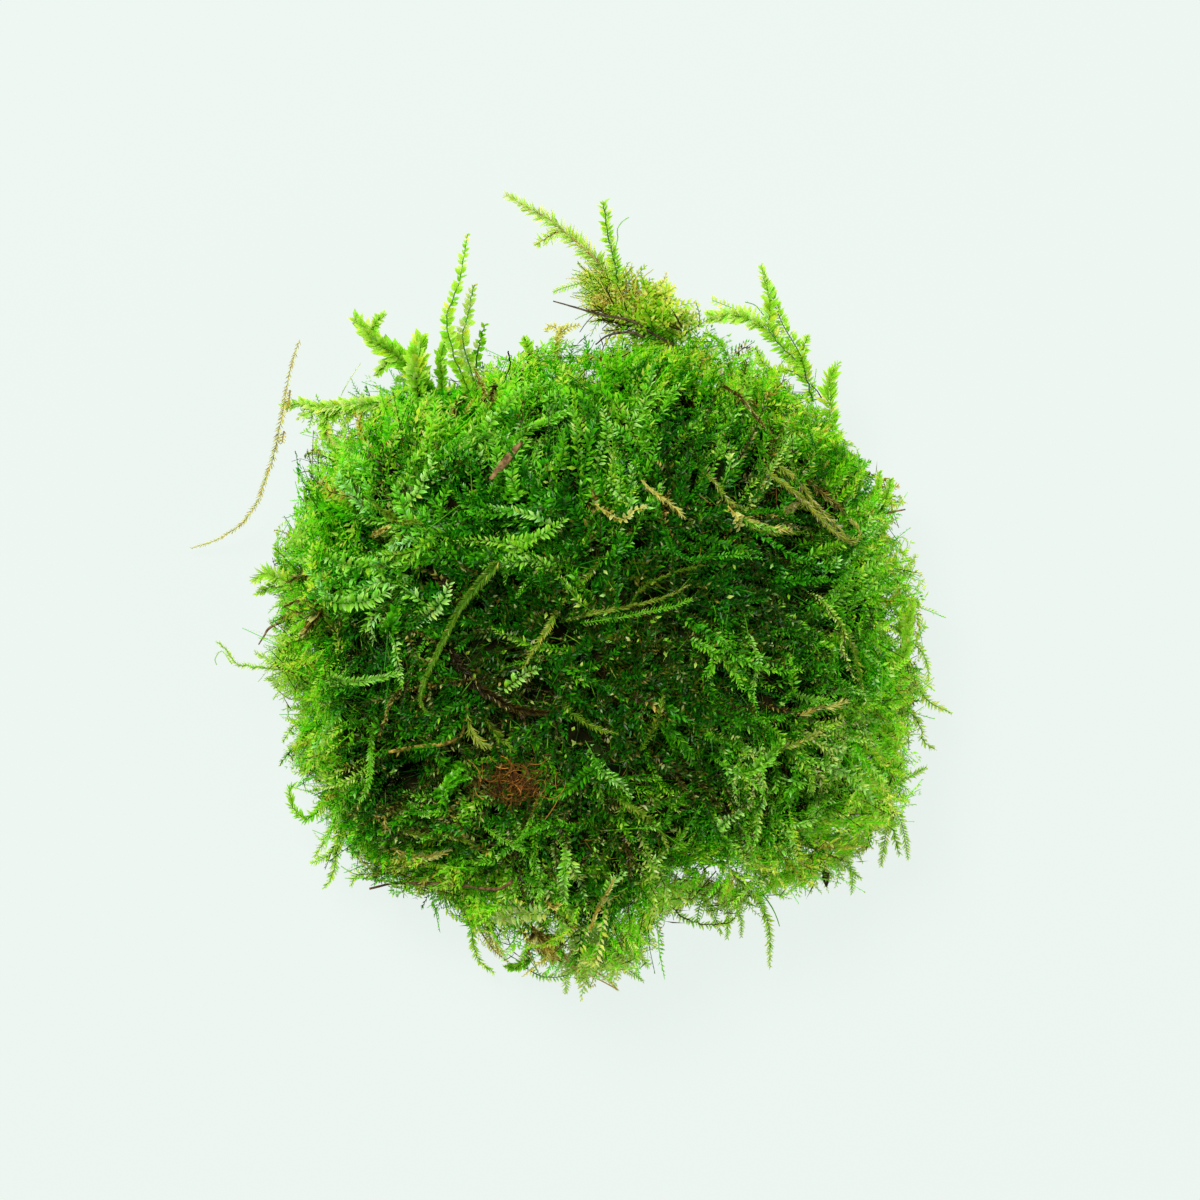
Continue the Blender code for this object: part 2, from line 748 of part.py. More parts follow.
flat_piece(
    "bark_flake", (FLAKE_LENGTH, FLAKE_WIDTH, FLAKE_THICKNESS),
    on_surface(FLAKE_MIDDLE, FLAKE_LIFT), FLAKE_AZIMUTH, RED_BROWN,
)
flat_piece(
    "dark_leaf", (LEAF_LENGTH, LEAF_WIDTH, LEAF_THICKNESS), LEAF_PLACE,
    math.radians(-85), DARK_BROWN,
)
make_tangle()
stem(
    "orange_stem",
    laid_on([(-28.8, -13.3), (-23.5, -12.4), (-18.2, -11.2), (-17.4, -6.3)], 0.5),
    (0.45, 0.45), ORANGE,
)
stem(
    "old_shoot",
    laid_on(
        [(-13.0, 13.3), (-18.2, 7.7), (-21.1, 2.1), (-23.5, -3.5), (-24.2, -6.6), (-21.8, -9.4)],
        0.5,
    ),
    (0.55, 0.4), OLIVE,
)
stem(
    "decayed_stem",
    laid_on([(-19.4, 1.6), (-16.5, -4.2), (-10.9, -7.0), (-6.0, -7.7)], 0.6),
    (0.5, 0.4), DARK_BROWN,
)
stem(
    "looped_shoot",
    laid_on(
        [(23.8, 24.8), (28.3, 21.7), (32.8, 16.5), (35.4, 15.0), (36.6, 16.8), (35.3, 18.9)],
        0.8,
    ),
    (0.6, 0.5), ORANGE,
)
stem(
    "wiry_stem",
    laid_on([(-11.4, -30.6), (-13.6, -31.9), (-19.9, -31.7), (-25.1, -31.6)], 0.5)
    + [(-28.6, -32.2, 13.5), (-31.9, -33.0, 12.5)],
    (0.35, 0.3), OLIVE,
)
stem(
    "south_stem",
    [(-5.4, -40.6, 12), (-3.2, -44.0, 12.5), (0.4, -45.8, 12), (3.0, -47.3, 11)],
    (0.4, 0.3), ORANGE,
)
stem(
    "east_twig",
    [(36.6, 19.0, 15), (40.3, 19.8, 16), (43.4, 20.4, 16)],
    (0.3, 0.25), DARK_BROWN,
)
shoot(
    "pinnate_frond",
    laid_on([(-6.8, -34.8), (-9.8, -35.0), (-14.0, -36.2)], 1.0),
    (0.9, 1.15, 0.5), PALE_GREEN,
)
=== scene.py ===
import math

import bpy
import numpy as np
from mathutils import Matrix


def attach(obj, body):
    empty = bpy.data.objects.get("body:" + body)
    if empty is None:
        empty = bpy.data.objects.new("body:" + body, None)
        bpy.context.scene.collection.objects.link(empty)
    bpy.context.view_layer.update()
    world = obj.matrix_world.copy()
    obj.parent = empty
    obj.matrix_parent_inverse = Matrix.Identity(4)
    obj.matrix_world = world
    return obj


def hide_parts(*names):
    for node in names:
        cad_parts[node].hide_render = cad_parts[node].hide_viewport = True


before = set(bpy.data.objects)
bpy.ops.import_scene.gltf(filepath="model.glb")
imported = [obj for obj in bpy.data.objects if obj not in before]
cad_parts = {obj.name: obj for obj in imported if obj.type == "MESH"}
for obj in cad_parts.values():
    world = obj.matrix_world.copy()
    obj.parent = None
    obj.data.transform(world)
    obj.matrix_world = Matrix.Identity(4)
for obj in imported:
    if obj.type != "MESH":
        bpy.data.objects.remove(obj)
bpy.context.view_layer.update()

# Camera. The photo looks straight down on the clump, so the camera does too,
# from a little over half a metre, with the crest side at the top of the frame.

CAMERA_HEIGHT = 0.62
WAIST_HEIGHT = 0.0165
FRAME_WIDTH = 0.168
FRAME_MIDDLE = (0.0006, 0.0077)
FRAME_PIXELS = 1200

camera = bpy.data.objects.new("camera", bpy.data.cameras.new("camera"))
bpy.context.scene.collection.objects.link(camera)
camera.location = (*FRAME_MIDDLE, CAMERA_HEIGHT)
camera.data.lens = camera.data.sensor_width * (CAMERA_HEIGHT - WAIST_HEIGHT) / FRAME_WIDTH
camera.data.clip_start = 0.01
bpy.context.scene.camera = camera

# Floor and light. A plain pale table that glows, so that the rim is lit from
# below as on a white ground, a soft key from the upper left of the photo, a
# weaker fill, and a dim even surround.

FLOOR_COLOUR = (0.828, 0.905, 0.863, 1)
FLOOR_GLOW = 0.955
FLOOR_DIFFUSE = 0.026
FLOOR_SIZE = 6.0
KEY_PLACE = (-0.20, 0.30, 0.62)
KEY_SIZE = 0.26
KEY_POWER = 11.0
FILL_PLACE = (0.46, -0.30, 0.36)
FILL_SIZE = 0.5
FILL_POWER = 3.4
SURROUND_COLOUR = (0.93, 0.97, 0.95, 1)
SURROUND_STRENGTH = 0.09

bpy.context.scene.view_settings.view_transform = "Standard"


def set_inputs(node, values):
    """Gives inputs of a shader node their fixed values, and returns the node."""
    for place, value in values.items():
        node.inputs[place].default_value = value
    return node


floor_mesh = bpy.data.meshes.new("floor")
half_floor = FLOOR_SIZE / 2
floor_mesh.from_pydata(
    [(x * half_floor, y * half_floor, 0) for x, y in ((-1, -1), (1, -1), (1, 1), (-1, 1))],
    [],
    [(0, 1, 2, 3)],
)
floor = bpy.data.objects.new("floor", floor_mesh)
bpy.context.scene.collection.objects.link(floor)
floor_material = bpy.data.materials.new("pale_table")
floor_material.use_nodes = True
set_inputs(floor_material.node_tree.nodes["Principled BSDF"], {
    "Base Color": (FLOOR_DIFFUSE, FLOOR_DIFFUSE, FLOOR_DIFFUSE, 1),
    "Roughness": 1.0,
    "Specular IOR Level": 0.0,
    "Emission Color": FLOOR_COLOUR,
    "Emission Strength": FLOOR_GLOW,
})
floor_mesh.materials.append(floor_material)


def area_light(name, place, size, power):
    """A square soft light at a place, turned to face the clump."""
    lamp = bpy.data.lights.new(name, "AREA")
    lamp.shape = "SQUARE"
    lamp.size = size
    lamp.energy = power
    made = bpy.data.objects.new(name, lamp)
    bpy.context.scene.collection.objects.link(made)
    made.location = place
    away = np.array(place) - (0, 0, WAIST_HEIGHT)
    reach = float(np.hypot(away[0], away[1]))
    made.rotation_euler = (math.atan2(reach, away[2]), 0, math.atan2(away[0], -away[1]))


area_light("key", KEY_PLACE, KEY_SIZE, KEY_POWER)
area_light("fill", FILL_PLACE, FILL_SIZE, FILL_POWER)
world = bpy.data.worlds.new("surround")
bpy.context.scene.world = world
world.use_nodes = True
set_inputs(
    world.node_tree.nodes["Background"],
    {"Color": SURROUND_COLOUR, "Strength": SURROUND_STRENGTH},
)

# Felt. Under the living tips is a dark felt of dead shoots, packed close and
# always wet, painted near-black green so that it also stands for the shade
# between the shoots. It is the cushion drawn in by the depth of the living layer.

FELT_DEPTH = 0.0034
FLOOR_CLEARANCE = 0.0001
NORMAL_ROUNDS = 6
LUMP_WAVES = 9
LUMP_LENGTHS = (0.006, 0.013)
LUMP_HEIGHT = 0.00085
FINE_LENGTHS = (0.0030, 0.0055)
FINE_HEIGHT = 0.00065
LUMP_SEED, FINE_SEED = 5, 6
TOP_HEIGHT = 0.014
TOP_BLEND = 0.004
STEEP_FROM, STEEP_RATE = 1.2, 1.6
FELT_RELIEF = 0.8

# Dark pits between the shoots: middle and radius in photo pixels, and depth.
PIT_SPOTS = [
    (388, 505, 13, -0.0032), (356, 534, 20, -0.0040), (337, 545, 12, -0.0030),
    (340, 640, 15, -0.0030), (322, 648, 11, -0.0030), (426, 572, 10, -0.0024),
    (330, 582, 9, -0.0020), (498, 592, 13, -0.0026), (590, 562, 9, -0.0024), (545, 598, 9, -0.0020),
    (632, 600, 13, -0.0034), (660, 592, 11, -0.0030), (683, 590, 10, -0.0030),
    (642, 545, 10, -0.0024), (744, 472, 13, -0.0026), (765, 452, 10, -0.0026),
    (762, 590, 9, -0.0030), (792, 606, 11, -0.0030), (702, 612, 11, -0.0032),
    (742, 626, 12, -0.0030), (770, 642, 10, -0.0028), (790, 540, 10, -0.0026),
    (545, 690, 14, -0.0036), (592, 742, 16, -0.0042), (404, 776, 21, -0.0040),
    (428, 792, 11, -0.0028), (482, 758, 10, -0.0026), (418, 852, 10, -0.0026),
    (446, 860, 9, -0.0024), (580, 802, 10, -0.0028), (630, 786, 10, -0.0030),
    (668, 664, 10, -0.0028), (768, 690, 12, -0.0032), (800, 682, 9, -0.0026),
    (836, 672, 11, -0.0028), (640, 660, 11, -0.0028), (672, 830, 9, -0.0030),
    (720, 800, 10, -0.0026), (734, 832, 10, -0.0030), (786, 812, 9, -0.0028),
    (715, 775, 9, -0.0026), (512, 640, 12, -0.0026), (566, 640, 10, -0.0024),
    (470, 655, 12, -0.0026), (350, 732, 11, -0.0024), (600, 690, 12, -0.0026),
    (655, 740, 11, -0.0024), (700, 540, 10, -0.0022), (820, 620, 10, -0.0022),
    (560, 735, 10, -0.0026), (610, 860, 11, -0.0024), (650, 890, 10, -0.0024),
    (440, 520, 11, -0.0022), (575, 480, 10, -0.0020), (640, 455, 10, -0.0020),
    (500, 530, 10, -0.0020), (690, 400, 10, -0.0022), (585, 395, 9, -0.0022),
    (598, 912, 12, -0.0034), (622, 898, 12, -0.0032), (578, 886, 10, -0.0026),
    (534, 934, 10, -0.0028), (470, 480, 9, -0.0018), (545, 450, 9, -0.0018),
]

# Lacy places, where the clump thins out and the ground shows through: middle
# and radius in photo pixels, and the share of shoots that is missing.
LACE_SPOTS = [
    (584, 350, 22, 1.0), (716, 350, 14, 1.2), (745, 357, 13, 1.0), (325, 440, 16, 1.0),
    (287, 535, 13, 0.9), (500, 364, 13, 0.9), (507, 944, 13, 0.9), (630, 950, 11, 0.8),
    (765, 862, 11, 1.0), (748, 903, 14, 0.9), (830, 872, 18, 1.0), (893, 785, 11, 0.8),
    (911, 690, 11, 0.8), (912, 590, 10, 0.7), (896, 510, 11, 0.7), (362, 866, 14, 0.9),
    (876, 482, 10, 0.7), (560, 972, 26, 0.6), (690, 905, 22, 0.7), (588, 392, 9, 0.9),
    (368, 434, 9, 0.9), (500, 934, 12, 1.0), (528, 950, 12, 0.9), (642, 944, 14, 0.9),
    (546, 962, 10, 0.9), (588, 380, 10, 0.9), (700, 885, 14, 0.8), (770, 880, 14, 0.8),
    (560, 958, 60, 0.45), (520, 935, 30, 0.3), (860, 850, 40, 0.35), (905, 760, 30, 0.35),
    (720, 895, 40, 0.45), (726, 902, 26, 0.35), (600, 965, 30, 0.35), (505, 938, 16, 0.6),
    (640, 940, 16, 0.6), (896, 640, 26, 0.30),
]
LACE_DEPTH = 0.0042
RIM_DEPTH = 0.0028


def unit(vectors):
    """Vectors divided by their own lengths."""
    return vectors / np.maximum(np.linalg.norm(vectors, axis=-1, keepdims=True), 1e-12)


def welded(node):
    """Corners and triangles of a CAD node, each shared corner counted once."""
    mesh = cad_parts[node].data
    places = np.empty(len(mesh.vertices) * 3)
    mesh.vertices.foreach_get("co", places)
    places = places.reshape(-1, 3)
    mesh.calc_loop_triangles()
    triangles = np.empty(len(mesh.loop_triangles) * 3, dtype=np.int64)
    mesh.loop_triangles.foreach_get("vertices", triangles)
    _, first, number = np.unique(
        np.round(places, 7), axis=0, return_index=True, return_inverse=True
    )
    triangles = number.ravel()[triangles].reshape(-1, 3)
    whole = (
        (triangles[:, 0] != triangles[:, 1])
        & (triangles[:, 1] != triangles[:, 2])
        & (triangles[:, 2] != triangles[:, 0])
    )
    return places[first], triangles[whole]


def corner_normals(points, triangles, rounds):
    """Normals as the sum of the crossed sides of the triangles at each corner,
    then averaged with their neighbours for some rounds."""
    sides = np.cross(
        points[triangles[:, 1]] - points[triangles[:, 0]],
        points[triangles[:, 2]] - points[triangles[:, 0]],
    )
    for _ in range(rounds + 1):
        normals = np.zeros_like(points)
        for corner in range(3):
            np.add.at(normals, triangles[:, corner], sides)
        normals = unit(normals)
        sides = normals[triangles].sum(axis=1)
    return normals


def make_piece(name, parts, material, slot, *nodes):
    """One mesh of several (corners, triangles, map) parts. The corner numbers
    of each part are moved past those before it, and none is below the floor.
    Parts without a map take their pattern from where they are."""
    points = np.concatenate([part[0] for part in parts])
    shifts = np.cumsum([0] + [len(part[0]) for part in parts[:-1]])
    triangles = np.concatenate([part[1] + shift for part, shift in zip(parts, shifts)])
    points[:, 2] = np.maximum(points[:, 2], FLOOR_CLEARANCE)
    mesh = bpy.data.meshes.new(name)
    mesh.vertices.add(len(points))
    mesh.vertices.foreach_set("co", points.astype(np.float32).ravel())
    mesh.loops.add(triangles.size)
    mesh.loops.foreach_set("vertex_index", triangles.astype(np.int32).ravel())
    mesh.polygons.add(len(triangles))
    mesh.polygons.foreach_set("loop_start", np.arange(0, triangles.size, 3, dtype=np.int32))
    mesh.polygons.foreach_set("use_smooth", np.ones(len(triangles), dtype=bool))
    if parts[0][2] is not None:
        places = np.concatenate([part[2] for part in parts])
        leaf_map = mesh.uv_layers.new(name="OFBake")
        leaf_map.uv.foreach_set("vector", places[triangles.ravel()].astype(np.float32).ravel())
    mesh.update(calc_edges=True)
    mesh.materials.append(material)
    made = bpy.data.objects.new(name, mesh)
    bpy.context.scene.collection.objects.link(made)
    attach(made, "root")
    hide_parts(*nodes)


def fill_ramp(ramp, tones):
    """Gives a colour ramp its stops, each a place and a colour."""
    stops = ramp.color_ramp.elements
    for place, _ in tones[1:-1]:
        stops.new(place)
    for stop, (place, colour) in zip(stops, tones):
        stop.position = place
        stop.color = (*colour, 1)


def matted_material(name, roughness, specular, patches, tones, fine, lift):
    """A dull, matted surface: the ramp of tones at a noise in patches, and a
    bump as high as the lift at a finer noise. A noise is given by its inputs."""
    made = bpy.data.materials.new(name)
    made.use_nodes = True
    nodes, links = made.node_tree.nodes, made.node_tree.links
    surface = set_inputs(
        nodes["Principled BSDF"], {"Roughness": roughness, "Specular IOR Level": specular}
    )
    place = nodes.new("ShaderNodeTexCoord")
    ramp = nodes.new("ShaderNodeValToRGB")
    fill_ramp(ramp, tones)
    bump = set_inputs(nodes.new("ShaderNodeBump"), {"Distance": lift})
    for inputs, end in ((patches, ramp.inputs["Fac"]), (fine, bump.inputs["Height"])):
        noise = set_inputs(nodes.new("ShaderNodeTexNoise"), inputs)
        links.new(place.outputs["Object"], noise.inputs["Vector"])
        links.new(noise.outputs["Fac"], end)
    links.new(ramp.outputs["Color"], surface.inputs["Base Color"])
    links.new(bump.outputs["Normal"], surface.inputs["Normal"])
    return made


# Green-black and brown in soft patches, with a fine matted bump: partly the
# dead felt's own colour, partly painted shade.
felt_with_painted_shade = matted_material(
    "felt_with_painted_shade", 0.85, 0.03, {"Scale": 260, "Detail": 5},
    [(0.35, (0.0006, 0.003, 0.0003)), (0.55, (0.006, 0.005, 0.001)),
     (0.70, (0.006, 0.020, 0.0015))],
    {"Scale": 1500, "Detail": 3}, 0.0006,
)


def photo_places(points):
    """Where the camera sees points in the 1200-pixel photo, by perspective."""
    nearer = (CAMERA_HEIGHT - WAIST_HEIGHT) / (CAMERA_HEIGHT - points[..., 2])
    scale = FRAME_PIXELS / FRAME_WIDTH * nearer
    across = FRAME_PIXELS / 2 + (points[..., 0] - FRAME_MIDDLE[0]) * scale
    down = FRAME_PIXELS / 2 - (points[..., 1] - FRAME_MIDDLE[1]) * scale
    return np.stack([across, down], axis=-1)


def spot_weights(points, table):
    """For each spot (across, down, radius, amount) in photo pixels, the weight
    exp(-(r / radius)^2) at the distance r from its middle, and the amounts.
    The underside, which the photo can't show, goes with what is above it."""
    seen = photo_places(points)
    spots = np.array(table, dtype=float)
    away = np.hypot(seen[:, None, 0] - spots[:, 0], seen[:, None, 1] - spots[:, 1])
    return np.exp(-((away / spots[:, 2]) ** 2)), spots[:, 3]


def spot_sum(points, table):
    """The amounts of the spots at points, each times its weight there, added up."""
    weights, amounts = spot_weights(points, table)
    return weights @ amounts


def waves(points, seed, count, lengths):
    """A smooth rolling value of about unit size: the sum of sine waves with
    random directions, wavelengths and phases, over the root of half their count."""
    chance = np.random.default_rng(seed)
    ways = unit(chance.normal(0, 1, (count, 3))) * 2 * math.pi
    ways = ways / chance.uniform(*lengths, (count, 1))
    phases = chance.uniform(0, 2 * math.pi, count)
    return np.sin(points @ ways.T + phases).sum(axis=1) / math.sqrt(count / 2)


def relief(points):
    """How far the turf stands above or below the CAD surface: broad lumps, fine
    ones, and the pits, which are only on the top."""
    on_top = np.clip((points[:, 2] - TOP_HEIGHT) / TOP_BLEND, 0, 1)
    return (
        LUMP_HEIGHT * waves(points, LUMP_SEED, LUMP_WAVES, LUMP_LENGTHS)
        + FINE_HEIGHT * waves(points, FINE_SEED, 2 * LUMP_WAVES, FINE_LENGTHS)
        + on_top * spot_sum(points, PIT_SPOTS)
    )


def host_of(points, triangles, rounds):
    """What shoots grow on: corners, their normals and triangles."""
    return points, corner_normals(points, triangles, rounds), triangles


cushion = host_of(*welded("moss_cushion"), NORMAL_ROUNDS)
steepness = np.clip(STEEP_FROM - STEEP_RATE * np.abs(cushion[1][:, 2]), 0, 1)
laciness = np.clip(spot_sum(cushion[0], LACE_SPOTS), 0, 1)
felt_depth = FELT_DEPTH + RIM_DEPTH * steepness + LACE_DEPTH * laciness
felt_points = cushion[0] - cushion[1] * (felt_depth - FELT_RELIEF * relief(cushion[0]))[:, None]
make_piece("felt", [(felt_points, cushion[2], None)], felt_with_painted_shade, "leaf_green", "moss_cushion")

# Living turf. Thousands of shoots creep out over the felt and overlap like
# thatch, each a thin stem with two rows of wet leaves a single cell thick.
# They are largest and brightest at the upper left of the photo, dull and fine
# in the middle, and yellow where the rim is thin and light comes through,
# which is partly painted light.

# Colours along the first axis of the leaf's map: dead browns, then greens.
SHADES = [
    (0.00, (0.006, 0.004, 0.002)),
    (0.07, (0.040, 0.025, 0.005)),
    (0.12, (0.125, 0.084, 0.012)),
    (0.17, (0.380, 0.280, 0.040)),
    (0.21, (0.440, 0.380, 0.110)),
    (0.24, (0.500, 0.490, 0.200)),
    (0.28, (0.105, 0.125, 0.008)),
    (0.36, (0.004, 0.054, 0.001)),
    (0.48, (0.008, 0.130, 0.001)),
    (0.60, (0.033, 0.252, 0.002)),
    (0.74, (0.108, 0.420, 0.006)),
    (0.86, (0.240, 0.560, 0.024)),
    (0.94, (0.350, 0.640, 0.085)),
    (1.00, (0.460, 0.640, 0.250)),
]
# The map's second axis is in four bands, one for each hue of green: the deep
# green of wet young leaves, the plain one, the yellow of the rim, and olive.
HUES = [(0.76, 1.04, 1.10), (0.92, 1.02, 0.90), (1.25, 1.00, 0.70), (1.50, 0.95, 1.60)]
HUE_SCALE = 2.5
COLOUR_LIMIT = 0.88
# Leaves go lighter from base to tip: painted shade at the base, where the leaves overlap.
TIP_LIGHTNESS = 1.30
STREAK_SCALE = (90.0, 20.0, 1.0)
STREAK_LOW = 0.80
STREAK_HIGH = 1.22


def math_node(nodes, kind, operation, second=None):
    """A Math or VectorMath node, its second input set where that is fixed."""
    made = nodes.new("ShaderNode" + kind)
    made.operation = operation
    if second is not None:
        made.inputs[1].default_value = second
    return made


def shade_group():
    """A node group: the palette's colour at the map's first axis, times the hue
    of the second axis' band. Along the band it goes from the base's light to
    the tip's, a painted shade at the leaf's base where the leaves overlap, and
    it is all times fine streaks of cells."""
    group = bpy.data.node_groups.new("moss_shade", "ShaderNodeTree")
    group.interface.new_socket("Base Light", in_out="INPUT", socket_type="NodeSocketFloat")
    group.interface.new_socket("Tint", in_out="INPUT", socket_type="NodeSocketVector")
    group.interface.new_socket("Colour", in_out="OUTPUT", socket_type="NodeSocketColor")
    nodes, links = group.nodes, group.links
    leaf_map = nodes.new("ShaderNodeUVMap")
    leaf_map.uv_map = "OFBake"
    parts = nodes.new("ShaderNodeSeparateXYZ")
    ramp = nodes.new("ShaderNodeValToRGB")
    fill_ramp(ramp, SHADES)
    along = set_inputs(nodes.new("ShaderNodeMapRange"), {"To Max": TIP_LIGHTNESS})
    stretch = set_inputs(nodes.new("ShaderNodeMapping"), {"Scale": STREAK_SCALE})
    cells = set_inputs(nodes.new("ShaderNodeTexNoise"), {"Scale": 1.0, "Detail": 2.0})
    streaks = set_inputs(nodes.new("ShaderNodeMapRange"), {
        "From Min": 0.3, "From Max": 0.7, "To Min": STREAK_LOW, "To Max": STREAK_HIGH
    })
    hue = nodes.new("ShaderNodeValToRGB")
    hue.color_ramp.interpolation = "CONSTANT"
    fill_ramp(hue, [
        (number / len(HUES), [part / HUE_SCALE for part in colour])
        for number, colour in enumerate(HUES)
    ])
    bands = math_node(nodes, "Math", "MULTIPLY", len(HUES))
    within = math_node(nodes, "Math", "FRACT")
    brought = math_node(nodes, "Math", "MULTIPLY", HUE_SCALE)
    both = math_node(nodes, "Math", "MULTIPLY")
    hued = math_node(nodes, "VectorMath", "MULTIPLY")
    shaded = math_node(nodes, "VectorMath", "SCALE")
    tinted = math_node(nodes, "VectorMath", "MULTIPLY")
    capped = math_node(nodes, "VectorMath", "MINIMUM", (COLOUR_LIMIT,) * 3)
    given = nodes.new("NodeGroupInput")
    out = nodes.new("NodeGroupOutput")
    for source, value, target, place in (
        (given, "Base Light", along, "To Min"),
        (leaf_map, "UV", parts, "Vector"),
        (leaf_map, "UV", stretch, "Vector"),
        (stretch, "Vector", cells, "Vector"),
        (cells, "Fac", streaks, "Value"),
        (parts, "X", ramp, "Fac"),
        (parts, "Y", bands, 0),
        (bands, "Value", within, 0),
        (within, "Value", along, "Value"),
        (parts, "Y", hue, "Fac"),
        (along, "Result", brought, 0),
        (brought, "Value", both, 0),
        (streaks, "Result", both, 1),
        (ramp, "Color", hued, 0),
        (hue, "Color", hued, 1),
        (hued, "Vector", shaded, "Vector"),
        (both, "Value", shaded, "Scale"),
        (shaded, "Vector", tinted, 0),
        (given, "Tint", tinted, 1),
        (tinted, "Vector", capped, 0),
        (capped, "Vector", out, "Colour"),
    ):
        links.new(source.outputs[value], target.inputs[place])
    return group


moss_shade = shade_group()
LEAF_GLOSS = 0.10


def leaf_material(name, roughness, through, base_light, tint):
    """A wet leaf: a glossy sheet that also lets part of the light through. It
    is as light at its base as given, darker there as painted shade where the
    leaves overlap, and its colour is taken times the tint."""
    made = bpy.data.materials.new(name)
    made.use_nodes = True
    nodes, links = made.node_tree.nodes, made.node_tree.links
    surface = set_inputs(
        nodes["Principled BSDF"], {"Roughness": roughness, "Specular IOR Level": LEAF_GLOSS}
    )
    glow = nodes.new("ShaderNodeBsdfTranslucent")
    mixed = set_inputs(nodes.new("ShaderNodeMixShader"), {"Fac": through})
    shade = nodes.new("ShaderNodeGroup")
    shade.node_tree = moss_shade
    set_inputs(shade, {"Base Light": base_light, "Tint": tint})
    links.new(shade.outputs["Colour"], surface.inputs["Base Color"])
    links.new(shade.outputs["Colour"], glow.inputs["Color"])
    links.new(surface.outputs["BSDF"], mixed.inputs[1])
    links.new(glow.outputs["BSDF"], mixed.inputs[2])
    links.new(mixed.outputs["Shader"], nodes["Material Output"].inputs["Surface"])
    return made


LEAF_ROUGHNESS = 0.26
LIGHT_THROUGH = 0.46

# The lit and rim leaves are brighter copies of the moss leaf, with lighter bases and stronger
# tints: painted light for shoots lit through by the glowing ground.
moss_leaf = leaf_material("moss_leaf", LEAF_ROUGHNESS, LIGHT_THROUGH, 0.38, (0.92, 1.0, 0.9))
lit_leaf = leaf_material("lit_leaf", 0.34, 0.70, 0.85, (1.62, 1.16, 1.4))
lit_rim_leaf = leaf_material("lit_rim_leaf", 0.30, 0.74, 0.85, (1.60, 1.60, 0.9))
old_leaf = leaf_material("old_leaf", 0.50, 0.40, 0.90, (1.15, 0.56, 1.2))
dead_leaf = leaf_material("dead_leaf", 0.45, 0.66, 0.95, (1.60, 1.62, 1.65))

# Forms of a leaf: corners as along, across and up, in leaf lengths and widths,
# then the shade's change at each, then the triangles. An ovate leaf fans out
# from its hollow middle, a keeled leaf folds along its rib, a sliver is bent.
LEAF_FORMS = {
    "ovate": (
        [
            (0.00, 0.00, 0.00), (0.26, 0.44, 0.07), (0.66, 0.38, 0.04), (1.00, 0.00, -0.10),
            (0.66, -0.38, 0.04), (0.26, -0.44, 0.07), (0.46, 0.00, -0.03),
        ],
        [0.0, 0.02, 0.03, 0.04, 0.03, 0.02, -0.03],
        [(1, 0, 6), (2, 1, 6), (3, 2, 6), (4, 3, 6), (5, 4, 6), (0, 5, 6)],
    ),
    "keeled": (
        [(0.00, 0.00, 0.00), (0.40, 0.50, 0.08), (1.00, 0.00, -0.08), (0.40, -0.50, 0.08),
         (0.48, 0.00, -0.04)],
        [0.0, 0.03, 0.04, 0.03, -0.03],
        [(1, 0, 4), (2, 1, 4), (3, 2, 4), (0, 3, 4)],
    ),
    "sliver": (
        [(0.00, 0.00, 0.00), (0.38, 0.50, 0.03), (1.00, 0.00, -0.06), (0.38, -0.50, 0.03)],
        [0.0, 0.02, 0.03, 0.02],
        [(1, 0, 2), (0, 3, 2)],
    ),
}


SHADE_LIMITS = (0.005, 0.995)
BAND_START, BAND_SPAN = 0.03, 0.94


def blades(form, bases, axes, ups, lengths, widths, shades, hues):
    """Leaves: each corner is the base, plus along times length on the leaf's
    axis, across times width on the axis crossed with up, and up times length
    on the up direction. Returns corners, triangles and the map, whose second
    axis is the share along the leaf in the band of its rounded hue."""
    corners, tints, fan = (np.array(part) for part in LEAF_FORMS[form])
    side = np.cross(ups, axes)
    along, wide, high = corners.T
    points = (
        bases[:, None]
        + (lengths[:, None] * along)[..., None] * axes[:, None]
        + (widths[:, None] * wide)[..., None] * side[:, None]
        + (lengths[:, None] * high)[..., None] * ups[:, None]
    )
    triangles = fan[None] + len(corners) * np.arange(len(bases))[:, None, None]
    shade = np.clip(shades[:, None] + tints, *SHADE_LIMITS)
    band = np.clip(np.round(hues), 0, len(HUES) - 1)[:, None]
    place = np.stack([shade, (band + along * BAND_SPAN + BAND_START) / len(HUES)], axis=-1)
    return points.reshape(-1, 3), triangles.reshape(-1, 3), place.reshape(-1, 2)


def path_frames(paths, ups):
    """Forward, up and left along each path: forward is the difference of the
    neighbours, up is the given one made square to it, left is their cross."""
    forward = unit(np.gradient(paths, axis=1))
    up = unit(ups - forward * np.sum(ups * forward, axis=-1, keepdims=True))
    return forward, up, np.cross(up, forward)


def read_along(values, which, where):
    """Values at the share `where` of path number `which`, linear between points."""
    last = values.shape[1] - 1
    spot = np.clip(where * last, 0, last - 1e-6)
    low = spot.astype(int)
    part = (spot - low).reshape(-1, *[1] * (values.ndim - 2))
    return values[which, low] * (1 - part) + values[which, low + 1] * part


STEM_BAND, STEM_SPAN = 1.3, 0.5


